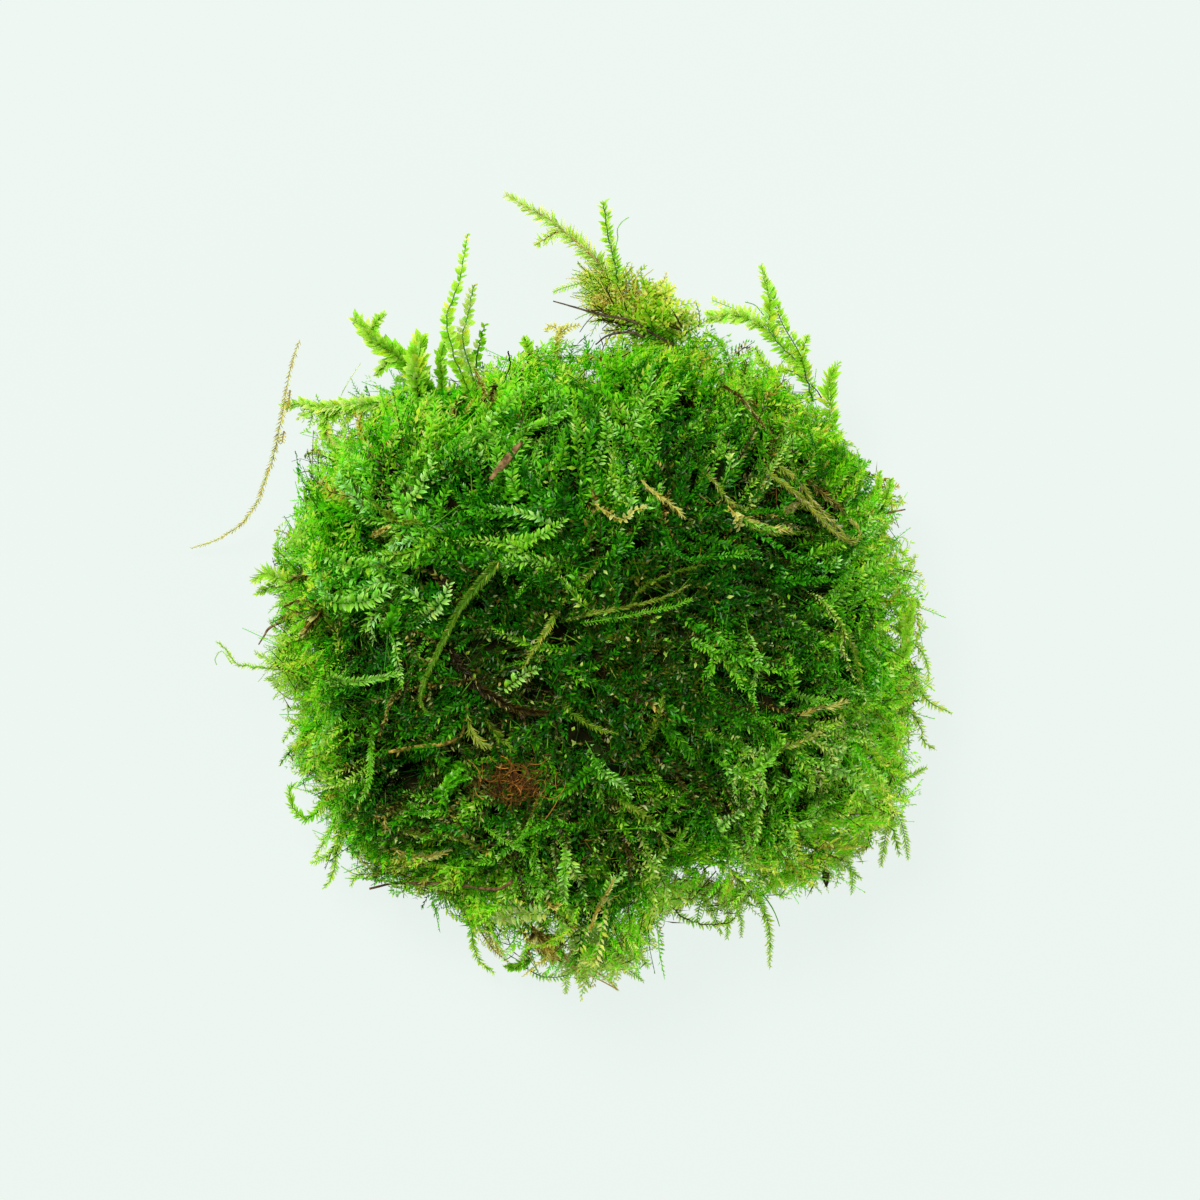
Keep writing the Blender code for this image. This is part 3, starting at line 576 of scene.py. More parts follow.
def stems(paths, ups, root_radius, tip_radius, shades):
    """Three-sided stems: each ring is the path's point plus the radius, which
    falls evenly to the tip, on the up and left directions at thirds of a turn."""
    forward, up, left = path_frames(paths, ups)
    count, steps = paths.shape[:2]
    turn = np.arange(3) * 2 * math.pi / 3
    share = np.linspace(0, 1, steps)
    radius = (root_radius[:, None] * (1 - share) + tip_radius[:, None] * share)[..., None, None]
    ring = up[:, :, None] * np.cos(turn)[:, None] + left[:, :, None] * np.sin(turn)[:, None]
    points = paths[:, :, None] + radius * ring
    corner = np.arange(3)
    low = (np.arange(steps - 1) * 3)[:, None]
    here, beside = low + corner, low + (corner + 1) % 3
    sides = np.stack(
        [np.stack([here, beside, here + 3], -1), np.stack([beside, beside + 3, here + 3], -1)], 2
    ).reshape(-1, 3)
    triangles = sides[None] + (3 * steps) * np.arange(count)[:, None, None]
    shade = np.broadcast_to(np.clip(shades, *SHADE_LIMITS)[:, None, None], (count, steps, 3))
    band = (STEM_BAND + STEM_SPAN * share[None, :, None]) / len(HUES)
    height = np.broadcast_to(band, shade.shape)
    place = np.stack([shade, height], axis=-1)
    return points.reshape(-1, 3), triangles.reshape(-1, 3), place.reshape(-1, 2)


DEAD_LIMIT = 0.25
DEAD_PALEST = 0.21
PALEST_LEAF = 0.97
SHORTER = 0.22
LONGEST = 1.15
ANGLE_CHANCE = 0.13
LIFT_CHANCE = 0.34
ROLL = 0.25
ROLL_CHANCE = 0.28
UNEVEN_SHADE = 0.045
UNEVEN_HUE = 0.36
TIP_PALER = 0.05
GLINT_SHARE = 0.05
GLINT_PALER = 0.22
SPREAD_CLOSES = 0.45


def leafy(
    paths, ups, pairs, sizes, slim, spread, lift, shades, chance, form="keeled", hues=1.0, loose=1.0
):
    """Leaves in two rows along paths. Leaf j of 2 n pairs sits at (j + 1/2) / 2n
    of the way, on alternate sides, as long as the sizes say there. It leans
    forward by the spread angle, which closes towards the tip, is lifted
    towards up, and rolled on its own axis, each by chance around its mean, and
    the looser the shoot the further off. One leaf in twenty is painted pale, a
    painted highlight of wet gloss, and those of a dead shoot stay among the
    dead shades."""
    forward, up, left = path_frames(paths, ups)
    counts = 2 * pairs
    which = np.repeat(np.arange(len(paths)), counts)
    number = np.arange(counts.sum()) - np.repeat(np.cumsum(counts) - counts, counts)
    where = (number + 0.5) / counts[which]
    side = np.where(number % 2 == 0, 1.0, -1.0)
    total = len(which)
    length = read_along(sizes, which, where)
    length = length * chance.uniform(1 - SHORTER * loose, LONGEST, total)
    angle = spread * (1 - SPREAD_CLOSES * where**2) + chance.normal(0, ANGLE_CHANCE * loose, total)
    rise = lift + chance.normal(0, LIFT_CHANCE * loose**0.5, total)
    turn = side * chance.normal(ROLL, ROLL_CHANCE * loose, total)
    ahead = read_along(forward, which, where)
    above = read_along(up, which, where)
    beside = read_along(left, which, where) * side[:, None]
    flat = unit(ahead * np.cos(angle)[:, None] + beside * np.sin(angle)[:, None])
    axes = unit(flat * np.cos(rise)[:, None] + above * np.sin(rise)[:, None])
    tall = unit(above - axes * np.sum(above * axes, axis=1, keepdims=True))
    tall = unit(tall * np.cos(turn)[:, None] + np.cross(axes, tall) * np.sin(turn)[:, None])
    uneven = chance.normal(0, UNEVEN_SHADE * min(loose, 1.0), total)
    shade = shades[which] + uneven + TIP_PALER * (where - 0.5)
    # A few leaves are painted paler: painted highlights of wet gloss.
    glinting = chance.random(total) < GLINT_SHARE
    shade = np.minimum(shade + GLINT_PALER * glinting, PALEST_LEAF)
    shade = np.where(shades[which] < DEAD_LIMIT, np.minimum(shade, DEAD_PALEST), shade)
    hue = np.broadcast_to(hues, len(paths))[which] + chance.normal(0, UNEVEN_HUE, total)
    spots = read_along(paths, which, where)
    return blades(form, spots, axes, tall, length, length * slim, shade, hue)


NEAREST = 6
CHUNK = 2000
SOFTENING = 1e-7


def nearest_patch(host, points):
    """Height over the host's surface, and its normal there: tangent planes of
    the nearest corners, weighted by one over the squared distance."""
    corners, facing, _ = host
    heights = np.empty(len(points))
    normals = np.empty((len(points), 3))
    for start in range(0, len(points), CHUNK):
        some = points[start : start + CHUNK]
        squared = (
            np.sum(some**2, axis=1)[:, None]
            + np.sum(corners**2, axis=1)[None]
            - 2 * some @ corners.T
        )
        close = np.argpartition(squared, NEAREST, axis=1)[:, :NEAREST]
        weight = 1 / (np.take_along_axis(squared, close, axis=1).clip(0) + SOFTENING)
        weight /= weight.sum(axis=1, keepdims=True)
        away = some[:, None] - corners[close]
        height = np.sum(away * facing[close], axis=2)
        heights[start : start + CHUNK] = np.sum(height * weight, axis=1)
        normals[start : start + CHUNK] = np.sum(facing[close] * weight[..., None], axis=1)
    return heights, unit(normals)


def settled(host, points, height):
    """Points moved along the host's normal to a height over its surface."""
    for _ in range(2):
        now, normals = nearest_patch(host, points)
        points = points + normals * (height - now)[:, None]
    return points, normals


SPREAD_ROUNDS = 4
PUSH_REACH = 2.2
PUSH_LIMIT = 0.4


def scattered(host, count, chance, lowest, rounds=SPREAD_ROUNDS):
    """Points spread over the host: by chance in proportion to area, then
    pushed apart for some rounds by the inverse cube of their distance."""
    corners = host[0][host[2]]
    area = np.linalg.norm(
        np.cross(corners[:, 1] - corners[:, 0], corners[:, 2] - corners[:, 0]), axis=1
    )
    area = area * (corners[:, :, 2].mean(axis=1) > lowest)
    picked = chance.choice(len(area), count, p=area / area.sum())
    share = chance.dirichlet((1, 1, 1), count)
    points = np.sum(corners[picked] * share[..., None], axis=1)
    step = math.sqrt(area.sum() / 2 / count)
    for _ in range(rounds):
        move = np.empty_like(points)
        for start in range(0, count, CHUNK):
            away = points[start : start + CHUNK, None] - points[None]
            far = np.linalg.norm(away, axis=2)
            far[far < 1e-9] = 1
            push = np.where(far < PUSH_REACH * step, (step / far) ** 3, 0) / far
            move[start : start + CHUNK] = np.einsum("ijk,ij->ik", away, push)
        size = np.maximum(np.linalg.norm(move, axis=1), 1e-9)
        move *= np.minimum(1, PUSH_LIMIT / size)[:, None]
        points, _ = settled(host, points + move * step, 0.0)
    return points


def crept(host, middles, heading, lengths, heights, bend, rise):
    """Paths that creep over the host through given middles: each step follows
    the heading, which turns by the bend and is kept square to the normal, and
    is then settled to its height plus the rise there. Returns points and normals."""
    steps = heights.shape[1] - 1
    stride = (lengths / steps)[:, None]
    half = steps // 2
    start, facing = settled(host, middles, heights[:, half] + rise(middles))
    ways, faces = {half: start}, {half: facing}
    for sense in (1, -1):
        points, normals, ahead = start, facing, heading * sense
        number = half
        while 0 <= number + sense <= steps:
            number += sense
            ahead = unit(ahead - normals * np.sum(ahead * normals, axis=1, keepdims=True))
            side = np.cross(normals, ahead)
            ahead = unit(ahead + side * (bend * sense)[:, None])
            points = points + ahead * stride
            points, normals = settled(host, points, heights[:, number] + rise(points))
            ways[number], faces[number] = points, normals
    order = range(steps + 1)
    return np.stack([ways[n] for n in order], axis=1), np.stack([faces[n] for n in order], axis=1)


# Spots of tone: partly the moss's own colour, and partly painted light and
# shade, paler at the thin lower and right edges that light comes through and
# darker over the deepest pits. Middle and radius in photo pixels, change of shade.
TONE_AND_LIGHT_SPOTS = [
    (450, 440, 120, 0.10), (620, 420, 90, 0.08), (340, 560, 50, 0.10), (370, 590, 45, 0.12),
    (440, 560, 60, -0.04), (360, 670, 45, -0.08), (390, 625, 22, 0.10), (355, 548, 24, -0.25),
    (530, 620, 90, -0.16), (560, 720, 80, -0.16), (404, 775, 34, -0.25), (450, 700, 60, -0.14),
    (650, 620, 70, -0.14), (740, 560, 70, -0.12), (770, 640, 80, -0.10), (700, 700, 80, -0.08),
    (760, 780, 90, 0.10), (620, 830, 80, -0.06), (470, 830, 70, 0.02), (570, 930, 70, 0.14),
    (300, 740, 45, 0.14), (890, 700, 60, 0.08), (860, 830, 60, 0.20), (720, 890, 50, 0.34),
    (790, 420, 60, 0.05), (330, 430, 50, 0.16), (450, 790, 24, 0.22), (700, 450, 60, -0.03),
    (880, 560, 40, 0.12), (885, 640, 40, 0.06), (590, 966, 40, 0.34), (516, 912, 26, 0.24),
    (606, 900, 24, -0.26), (560, 890, 18, -0.16), (530, 934, 18, -0.22), (500, 930, 40, 0.10),
    (790, 790, 60, 0.10), (850, 760, 40, 0.08), (368, 652, 30, -0.12), (830, 560, 30, -0.08),
    (720, 470, 40, -0.08), (600, 540, 40, -0.06), (870, 720, 40, 0.06), (640, 920, 40, 0.08),
]
# Spots of hue: middle and radius in photo pixels, and change of the hue's band.
HUE_SPOTS = [
    (470, 470, 120, -0.40), (360, 660, 60, -0.65), (790, 600, 60, -0.45), (780, 790, 100, 0.55),
    (620, 430, 70, 0.25), (570, 930, 90, 0.50), (760, 440, 80, 0.45), (600, 690, 120, 0.25),
    (430, 820, 80, 0.60), (350, 420, 70, -0.20), (300, 720, 60, 0.40), (640, 850, 80, 0.45),
    (460, 740, 60, 0.20), (820, 480, 50, 0.60), (560, 620, 50, 0.50), (700, 600, 60, 0.20),
    (840, 560, 30, -0.40),
]
# Spots of larger leaves: middle and radius in photo pixels, and how much longer.
LEAF_SPOTS = [
    (450, 440, 130, 0.35), (620, 430, 90, 0.25), (370, 580, 55, 0.40), (590, 610, 80, 0.10),
    (570, 920, 60, 0.15), (360, 670, 40, -0.35), (760, 760, 90, -0.05), (330, 420, 40, -0.2),
    (300, 700, 60, -0.15),
]
# Spots where dead shoots show: middle and radius in pixels, and their share.
DEAD_SPOTS = [
    (300, 610, 34, 0.40), (520, 770, 60, 0.45), (420, 790, 45, 0.38), (470, 680, 70, 0.30),
    (800, 500, 45, 0.35), (760, 410, 40, 0.20), (680, 780, 50, 0.30), (600, 850, 70, 0.20),
    (400, 840, 50, 0.35), (640, 660, 60, 0.25), (370, 470, 35, 0.25), (620, 400, 30, 0.15),
    (560, 930, 30, 0.20), (720, 540, 50, 0.15), (330, 740, 30, 0.2), (480, 830, 60, 0.22),
]
# Spots of the way that shoots head: middle and radius in pixels, and azimuth.
WAY_SPOTS = [
    (480, 420, 85, 55), (310, 510, 60, 95), (370, 580, 50, 190), (360, 670, 60, -92),
    (290, 740, 50, 215), (470, 570, 60, 215), (620, 430, 75, 105), (650, 500, 60, 120),
    (760, 600, 80, -15), (780, 440, 70, 40), (780, 760, 90, -25), (570, 920, 75, -85),
    (430, 850, 75, -140),
]
COMB_MIDDLE = np.array([-0.004, 0.000, 0.018])
COMB_FLATNESS = (1, 1, 0.35)
COMB_SHARE = 0.8
WAY_SHARE = 1.1
PLAIN_SHADE = 0.575
SHADE_CHANCE = 0.09
DARKEST_GREEN = 0.33
PALEST_GREEN = 0.96
PLAIN_LEAF = 0.00094
LEAF_RANGE = (0.74, 1.24)
HUE_CHANCE = 0.35
PLAIN_DEAD = 0.04
DEAD_SHARE = 0.8
BROWN_SHARE = 0.45
BROWN_SHADES = (0.03, 0.11)
TAN_SHADES = (0.262, 0.32)
RIM_BROWN = 0.09
PIT_BARE = 0.85
BARE_PIT = -0.0026
PAINTED_HOLLOW_SHADE = 110.0
TUFT_SHADE = 0.095
TUFT_HUE = 0.5
TUFT_LENGTHS = (0.0055, 0.014)
SWING_SEED, TUFT_SEED, TUFT_HUE_SEED = 8, 12, 13
SWING_WAVES = 8
SWING_LENGTHS = (0.012, 0.030)
SWING_CHANCE = 0.42
MIDDLE_RADIUS = 0.022
RISE_RATE = 1.6
HEIGHT_CHANCE = 0.00045
TIP_LIFT = 0.0030
TIP_START = 0.7
BEND_CHANCE = 0.11
LOWEST_SHOOT = 0.0012
RIM_PAINTED_LIGHT = 0.22
RIM_HUE = 0.30
RIM_FACING = 0.90
RIM_BLEND = 0.42
RIM_THIN = 0.34
LACE_LIT = 1.5
CREEP_STEPS = 8


def turf_layer(host, count, deep, proud, length_range, leaf_scale, painted_depth_shade, bare, chance):
    """One layer of creeping shoots, fewer of them in the pits, the lacy places
    and the rim: paths, ups, lengths, leaf length, shade, hue and how far each
    is in the rim, which the lacy places count as, being lit through too."""
    middles = scattered(host, count, chance, LOWEST_SHOOT)
    _, normals = nearest_patch(host, middles)
    rim = np.clip((RIM_FACING - np.abs(normals[:, 2])) / RIM_BLEND, 0, 1)
    in_pit = np.where(middles[:, 2] > TOP_HEIGHT, spot_sum(middles, PIT_SPOTS) / BARE_PIT, 0)
    lacy = spot_sum(middles, LACE_SPOTS)
    kept = chance.random(count) > np.maximum(bare * in_pit, lacy) + RIM_THIN * rim
    rim = np.maximum(rim, np.clip(LACE_LIT * lacy, 0, 1))
    middles, normals, rim, lacy = (value[kept] for value in (middles, normals, rim, lacy))
    count = len(middles)
    outward = unit((middles - COMB_MIDDLE) * COMB_FLATNESS)
    weights, azimuth = spot_weights(middles, WAY_SPOTS)
    azimuth = np.radians(azimuth)
    wind = np.stack([weights @ np.cos(azimuth), weights @ np.sin(azimuth)], axis=1)
    top = np.clip(normals[:, 2] * 2, 0, 1)[:, None]
    outward[:, :2] = outward[:, :2] * COMB_SHARE + wind * WAY_SHARE * top
    outward = unit(outward - normals * np.sum(outward * normals, axis=1, keepdims=True))
    side = np.cross(normals, outward)
    inner = np.exp(-np.sum((middles[:, :2] / MIDDLE_RADIUS) ** 2, axis=1))
    swing = waves(middles, SWING_SEED, SWING_WAVES, SWING_LENGTHS) * (0.55 + 0.5 * inner)
    swing = (swing + chance.normal(0, SWING_CHANCE, count))[:, None]
    heading = outward * np.cos(swing) + side * np.sin(swing)
    lengths = chance.uniform(*length_range, count)
    share = np.linspace(0, 1, CREEP_STEPS + 1)
    heights = deep + (proud - deep) * np.minimum(1, share * RISE_RATE)
    heights = heights + chance.normal(0, HEIGHT_CHANCE, count)[:, None]
    lifted = TIP_LIFT * np.clip(share - TIP_START, 0, 1)
    heights = heights + lifted * chance.normal(1, 1.2, count)[:, None]
    bend = chance.normal(0, BEND_CHANCE, count)
    paths, ups = crept(host, middles, heading, lengths, heights, bend, relief)
    # Painted light: shoots in the rim and the lacy places, where light comes through, get a paler
    # shade, a higher palest shade and a yellower hue.
    shade = PLAIN_SHADE + spot_sum(middles, TONE_AND_LIGHT_SPOTS) + RIM_PAINTED_LIGHT * rim + painted_depth_shade
    # Painted shade: shoots in the turf's hollows and pits are darker, those on its lumps paler.
    shade = shade + PAINTED_HOLLOW_SHADE * relief(middles)
    shade = shade + TUFT_SHADE * waves(middles, TUFT_SEED, SWING_WAVES, TUFT_LENGTHS)
    palest = PALEST_GREEN - 0.06 * rim + 0.10 * lacy
    shade = np.clip(shade + chance.normal(0, SHADE_CHANCE, count), DARKEST_GREEN, palest)
    hue = 1 + spot_sum(middles, HUE_SPOTS) + RIM_HUE * rim + chance.normal(0, HUE_CHANCE, count)
    hue = hue + TUFT_HUE * waves(middles, TUFT_HUE_SEED, SWING_WAVES, TUFT_LENGTHS)
    dead = chance.random(count) < PLAIN_DEAD + DEAD_SHARE * spot_sum(middles, DEAD_SPOTS)
    brown, tan = chance.uniform(*BROWN_SHADES, count), chance.uniform(*TAN_SHADES, count)
    # Dead shoots in the rim get a paler brown, painted light where it comes through.
    brown = np.where(rim > 0.5, brown + RIM_BROWN, brown)
    dead_shade = np.where(chance.random(count) < BROWN_SHARE, brown, tan)
    shade = np.where(dead, dead_shade, shade)
    hue = np.where(dead, 1, hue)
    leaf = PLAIN_LEAF * (1 + spot_sum(middles, LEAF_SPOTS)) * leaf_scale
    leaf = leaf * chance.uniform(*LEAF_RANGE, count)
    return paths, ups, lengths, leaf, shade, hue, rim


TURF_TAPER = np.array([0.45, 0.75, 0.95, 1.0, 1.0, 0.97, 0.9, 0.72, 0.38])
TURF_STEM = 0.00010
BROWN_STEMS = 0.08
BROWN_STEM_SHADE = 0.07


def layer_parts(layer, chosen, gap, spread, lift, slim, form, stem_steps, loose, chance):
    """Leaves and stems of the chosen shoots of a layer, with a gap between
    pairs of leaves as a share of the leaf's length. Dead shoots and a few
    others have brown stems."""
    paths, ups, lengths, leaf, shade, hue, _ = (value[chosen] for value in layer)
    pairs = np.maximum(4, np.round(lengths / leaf / gap)).astype(int)
    sizes = leaf[:, None] * TURF_TAPER
    leaves = leafy(paths, ups, pairs, sizes, slim, spread, lift, shade, chance, form, hue, loose)
    brown = (shade < 0.32) | (chance.random(len(paths)) < BROWN_STEMS)
    stem_shade = np.where(brown, BROWN_STEM_SHADE, np.clip(shade - 0.10, 0.35, 0.8))
    thin = np.full(len(paths), TURF_STEM)
    coarse, coarse_ups = paths[:, ::stem_steps], ups[:, ::stem_steps]
    return [leaves, stems(coarse, coarse_ups, thin, thin * 0.5, stem_shade)]


TURF_SEED = 20
TURF_LOOSE = 1.4
RIM_LOOSE = 1.1
# Layers from the felt up: how many shoots, height at root and tip, lengths,
# leaf scale, change of shade, darker for the lower layers partly as painted
# shade and partly for their older leaves, paler for the top one, and share gone
# in the pits. Then their leaves: gap, spread, lift, slimness and form, and the
# path's steps to one of the stem.
LAYERS = [
    ((1400, -0.0036, -0.0022, (0.007, 0.012), 1.0, -0.16, 0.2),
     (0.62, 0.90, 0.35, 0.46, "sliver", 4)),
    ((3300, -0.0028, -0.0009, (0.008, 0.015), 1.0, 0.0, PIT_BARE),
     (0.44, 0.90, 0.42, 0.38, "sliver", 4)),
    ((900, -0.0016, 0.0001, (0.009, 0.017), 1.08, 0.07, PIT_BARE),
     (0.41, 0.95, 0.34, 0.38, "keeled", 2)),
]
turf_chance = np.random.default_rng(TURF_SEED)
layers = [(turf_layer(cushion, *grown, turf_chance), leaves) for grown, leaves in LAYERS]

# The leaves of the rim are thinner and lit through, so they are pieces of
# their own, each a quarter of the way round.
REGIONS = {"north": 45, "west": 135, "south": 225, "east": 315}
for region, start in REGIONS.items():
    for name, material, loose, in_rim in (
        ("turf_", moss_leaf, TURF_LOOSE, False), ("turf_rim_", lit_rim_leaf, RIM_LOOSE, True)
    ):
        parts = []
        for layer, leaves in layers:
            middle = layer[0][:, CREEP_STEPS // 2]
            azimuth = np.degrees(np.arctan2(middle[:, 1], middle[:, 0]))
            chosen = ((azimuth - start) % 360 < 90) & ((layer[-1] > 0.5) == in_rim)
            parts += layer_parts(layer, chosen, *leaves, loose, turf_chance)
        make_piece(name + region, parts, material, "leaf_green", "moss_cushion")

# Side growth. Down the sides the felt carries short shoots of its own, so that
# no bare patch of it shows between the sprays of the loose edge.

SIDE_SHOOTS = 900
SIDE_SEED = 29
SIDE_FACING = 0.80
SIDE_SHADE = 0.78
SIDE_LOWEST = 0.0018
SIDE_LENGTHS = (0.006, 0.011)
SIDE_ROOT, SIDE_RISE = 0.0003, 0.0016
SIDE_BEND = 0.16


def any_way(normals, chance):
    """A chance way along the surface at each normal."""
    return unit(np.cross(normals, unit(chance.normal(0, 1, normals.shape))))


def level(points):
    """No rise, for shoots that keep to a bare host instead of the turf's relief."""
    return 0.0


def side_layer(host, count, chance):
    """Short shoots that creep every way over the steep part of the host and
    rise off it towards their tips, in the form that turf_layer gives."""
    middles = scattered(host, count, chance, SIDE_LOWEST)
    _, normals = nearest_patch(host, middles)
    steep = np.abs(normals[:, 2]) < SIDE_FACING
    middles, normals = middles[steep], normals[steep]
    count = len(middles)
    heading = any_way(normals, chance)
    lengths = chance.uniform(*SIDE_LENGTHS, count)
    share = np.linspace(0, 1, CREEP_STEPS + 1)
    heights = SIDE_ROOT + SIDE_RISE * share * chance.uniform(0.3, 1.3, count)[:, None]
    bend = chance.normal(0, SIDE_BEND, count)
    paths, ups = crept(host, middles, heading, lengths, heights, bend, level)
    leaf = PLAIN_LEAF * chance.uniform(0.85, 1.3, count)
    shade = np.clip(SIDE_SHADE + 0.09 * chance.normal(0, 1, count), 0.45, 0.95)
    return paths, ups, lengths, leaf, shade, 1.2 + chance.normal(0, 0.4, count), np.ones(count)


side_chance = np.random.default_rng(SIDE_SEED)
felt_host = host_of(felt_points, cushion[2], NORMAL_ROUNDS)
side = side_layer(felt_host, 2 * SIDE_SHOOTS, side_chance)
first = np.arange(len(side[0])) < SIDE_SHOOTS
side_parts = layer_parts(side, first, 0.60, 0.9, 0.35, 0.44, "sliver", 4, RIM_LOOSE, side_chance)
make_piece("side_growth", side_parts, lit_rim_leaf, "leaf_green", "moss_cushion")

# Long shoots. Over the turf lie longer ones, each by its route in the photo:
# fern-like rows of pale hanging leaves, old bare stems, and bright young tips.

SHOOT_STEPS = 24
LONG_SEED = 27
LONG_WOBBLE = 0.00005
FACING_UP = 0.2
MM = 0.001
facing_up = cushion[1][:, 2] > FACING_UP
top_corners = cushion[0][facing_up]


def smooth_path(route, steps):
    """A path through the route's points: on each span, the Catmull-Rom cubic
    of the four points about it, read at even steps of the length."""
    route = np.asarray(route, dtype=float)
    ends = np.concatenate([2 * route[:1] - route[1:2], route, 2 * route[-1:] - route[-2:-1]])
    share = np.linspace(0, 1, 12, endpoint=False)[None, :, None]
    a, b, c, d = (ends[i : len(ends) - 3 + i, None] for i in range(4))
    fine = 0.5 * (
        2 * b
        + (c - a) * share
        + (2 * a - 5 * b + 4 * c - d) * share**2
        + (3 * b - a - 3 * c + d) * share**3
    )
    fine = np.concatenate([fine.reshape(-1, route.shape[1]), route[-1:]])
    gone = np.concatenate([[0], np.cumsum(np.linalg.norm(np.diff(fine, axis=0), axis=1))])
    even = np.linspace(0, gone[-1], steps + 1)
    return np.stack([np.interp(even, gone, axis) for axis in fine.T], axis=1)


# What a kind of shoot is like: gap between pairs of leaves in mm, leaf width
# over length, leaf angle, extra rows of leaves on top, and stem radius in mm.
SHOOT_KINDS = {
    "lush": (0.46, 0.50, 0.95, 2, 0.20),
    "comb": (0.50, 0.34, 1.15, 1, 0.14),
    "beaded": (0.80, 0.66, 0.95, 0, 0.15),
    "spiky": (0.40, 0.17, 1.00, 2, 0.17),
    "feather": (0.42, 0.26, 0.90, 1, 0.11),
    "fern": (0.62, 0.44, 1.30, 0, 0.10),
    "scaly": (0.42, 0.40, 0.42, 2, 0.24),
    "dry": (0.62, 0.14, 0.62, 2, 0.055),
    "bare": (9.00, 0.10, 0.50, 0, 0.14),
    "shaggy": (0.30, 0.17, 0.70, 2, 0.20),
    "frond": (0.56, 0.40, 1.30, 0, 0.12),
    "wisp": (0.30, 0.13, 0.42, 1, 0.12),
    "hair": (9.00, 0.10, 0.50, 0, 0.08),
    "paddle": (0.66, 0.62, 1.35, 0, 0.10),
}
CROWN_GAP = 1.1
CROWN_ANGLE = 0.8
CROWN_SHADE = 0.03
SHOOT_LIFT = 0.15


def grown_shoot(
    path, up, kind, reach, shade, stem_shade, chance, form, loose=1.0, crown=False, thick=1.0
):
    """One shoot along a path: its leaves reach as far as the half widths at
    root, middle and tip, which is the leaf's length times the sine of its
    angle, so the length is the half width over that sine. A crown is an extra
    row on top, whose leaves are further apart and lean further forward."""
    gap, slim, angle, _, stem_radius = SHOOT_KINDS[kind]
    if crown:
        gap, angle = gap * CROWN_GAP, angle * CROWN_ANGLE
    paths = path[None]
    ups = np.broadcast_to(np.asarray(up, dtype=float), paths.shape)
    share = np.linspace(0, 1, len(path))
    root, middle, tip = reach
    half = np.interp(share, (0, 0.3, 0.75, 1), (root, middle, middle * 0.9, tip))
    sizes = (half / math.sin(angle))[None] * MM
    length = np.linalg.norm(np.diff(path, axis=0), axis=1).sum()
    pairs = np.array([max(3, round(length / (gap * MM)))])
    leaves = leafy(
        paths, ups, pairs, sizes, slim, angle, SHOOT_LIFT, np.array([shade]), chance, form,
        loose=loose,
    )
    thin = np.array([stem_radius * thick * MM])
    return [leaves, stems(paths, ups, thin, thin * 0.55, np.array([stem_shade]))]


def turf_height(plan):
    """How high the turf is at places in plan: the mean of the nearest corners
    that face up, weighted by one over the squared distance."""
    squared = np.sum((plan[:, None] - top_corners[None, :, :2]) ** 2, axis=2)
    close = np.argpartition(squared, NEAREST, axis=1)[:, :NEAREST]
    weight = 1 / (np.take_along_axis(squared, close, axis=1) + SOFTENING)
    return np.sum(weight * top_corners[close, 2], axis=1) / weight.sum(axis=1)


def table_places(places, heights):
    """Where photo places are, in metres, at given heights: photo_places undone."""
    scale = FRAME_WIDTH / FRAME_PIXELS * (CAMERA_HEIGHT - heights) / (CAMERA_HEIGHT - WAIST_HEIGHT)
    across = FRAME_MIDDLE[0] + (places[:, 0] - FRAME_PIXELS / 2) * scale
    ahead = FRAME_MIDDLE[1] - (places[:, 1] - FRAME_PIXELS / 2) * scale
    return np.stack([across, ahead, heights], axis=1)


def on_turf(places, lifts):
    """Photo places on the turf: the height there plus the lift, found in three
    rounds because the height and the place hang on each other."""
    heights = np.full(len(places), 0.025)
    for _ in range(3):
        points = table_places(places, heights)
        heights = turf_height(points[:, :2]) + relief(points) + lifts
    return table_places(places, heights)


def long_shoots(rows, chance):
    """Shoots laid on the turf: kind, shade, stem shade, half widths in mm at
    root, middle and tip, lift in mm at root and tip, and route in the photo."""
    parts = []
    for kind, shade, stem_shade, reach, (low, high), route in rows:
        route = np.array(route, dtype=float)
        lifts = np.linspace(low, high, len(route)) * MM
        path = smooth_path(on_turf(route, lifts), SHOOT_STEPS)
        path[1:-1] += chance.normal(0, LONG_WOBBLE, (len(path) - 2, 3))
        _, normals = nearest_patch(cushion, path)
        parts += grown_shoot(path, normals, kind, reach, shade, stem_shade, chance, "ovate")
        extra = SHOOT_KINDS[kind][3]
        for _ in range(extra):
            tilted = unit(normals + chance.normal(0, 0.5, 3))
            parts += grown_shoot(
                path, tilted, kind, [half * 0.8 for half in reach], shade + CROWN_SHADE,
                stem_shade, chance, "keeled", crown=True,
            )
    return parts


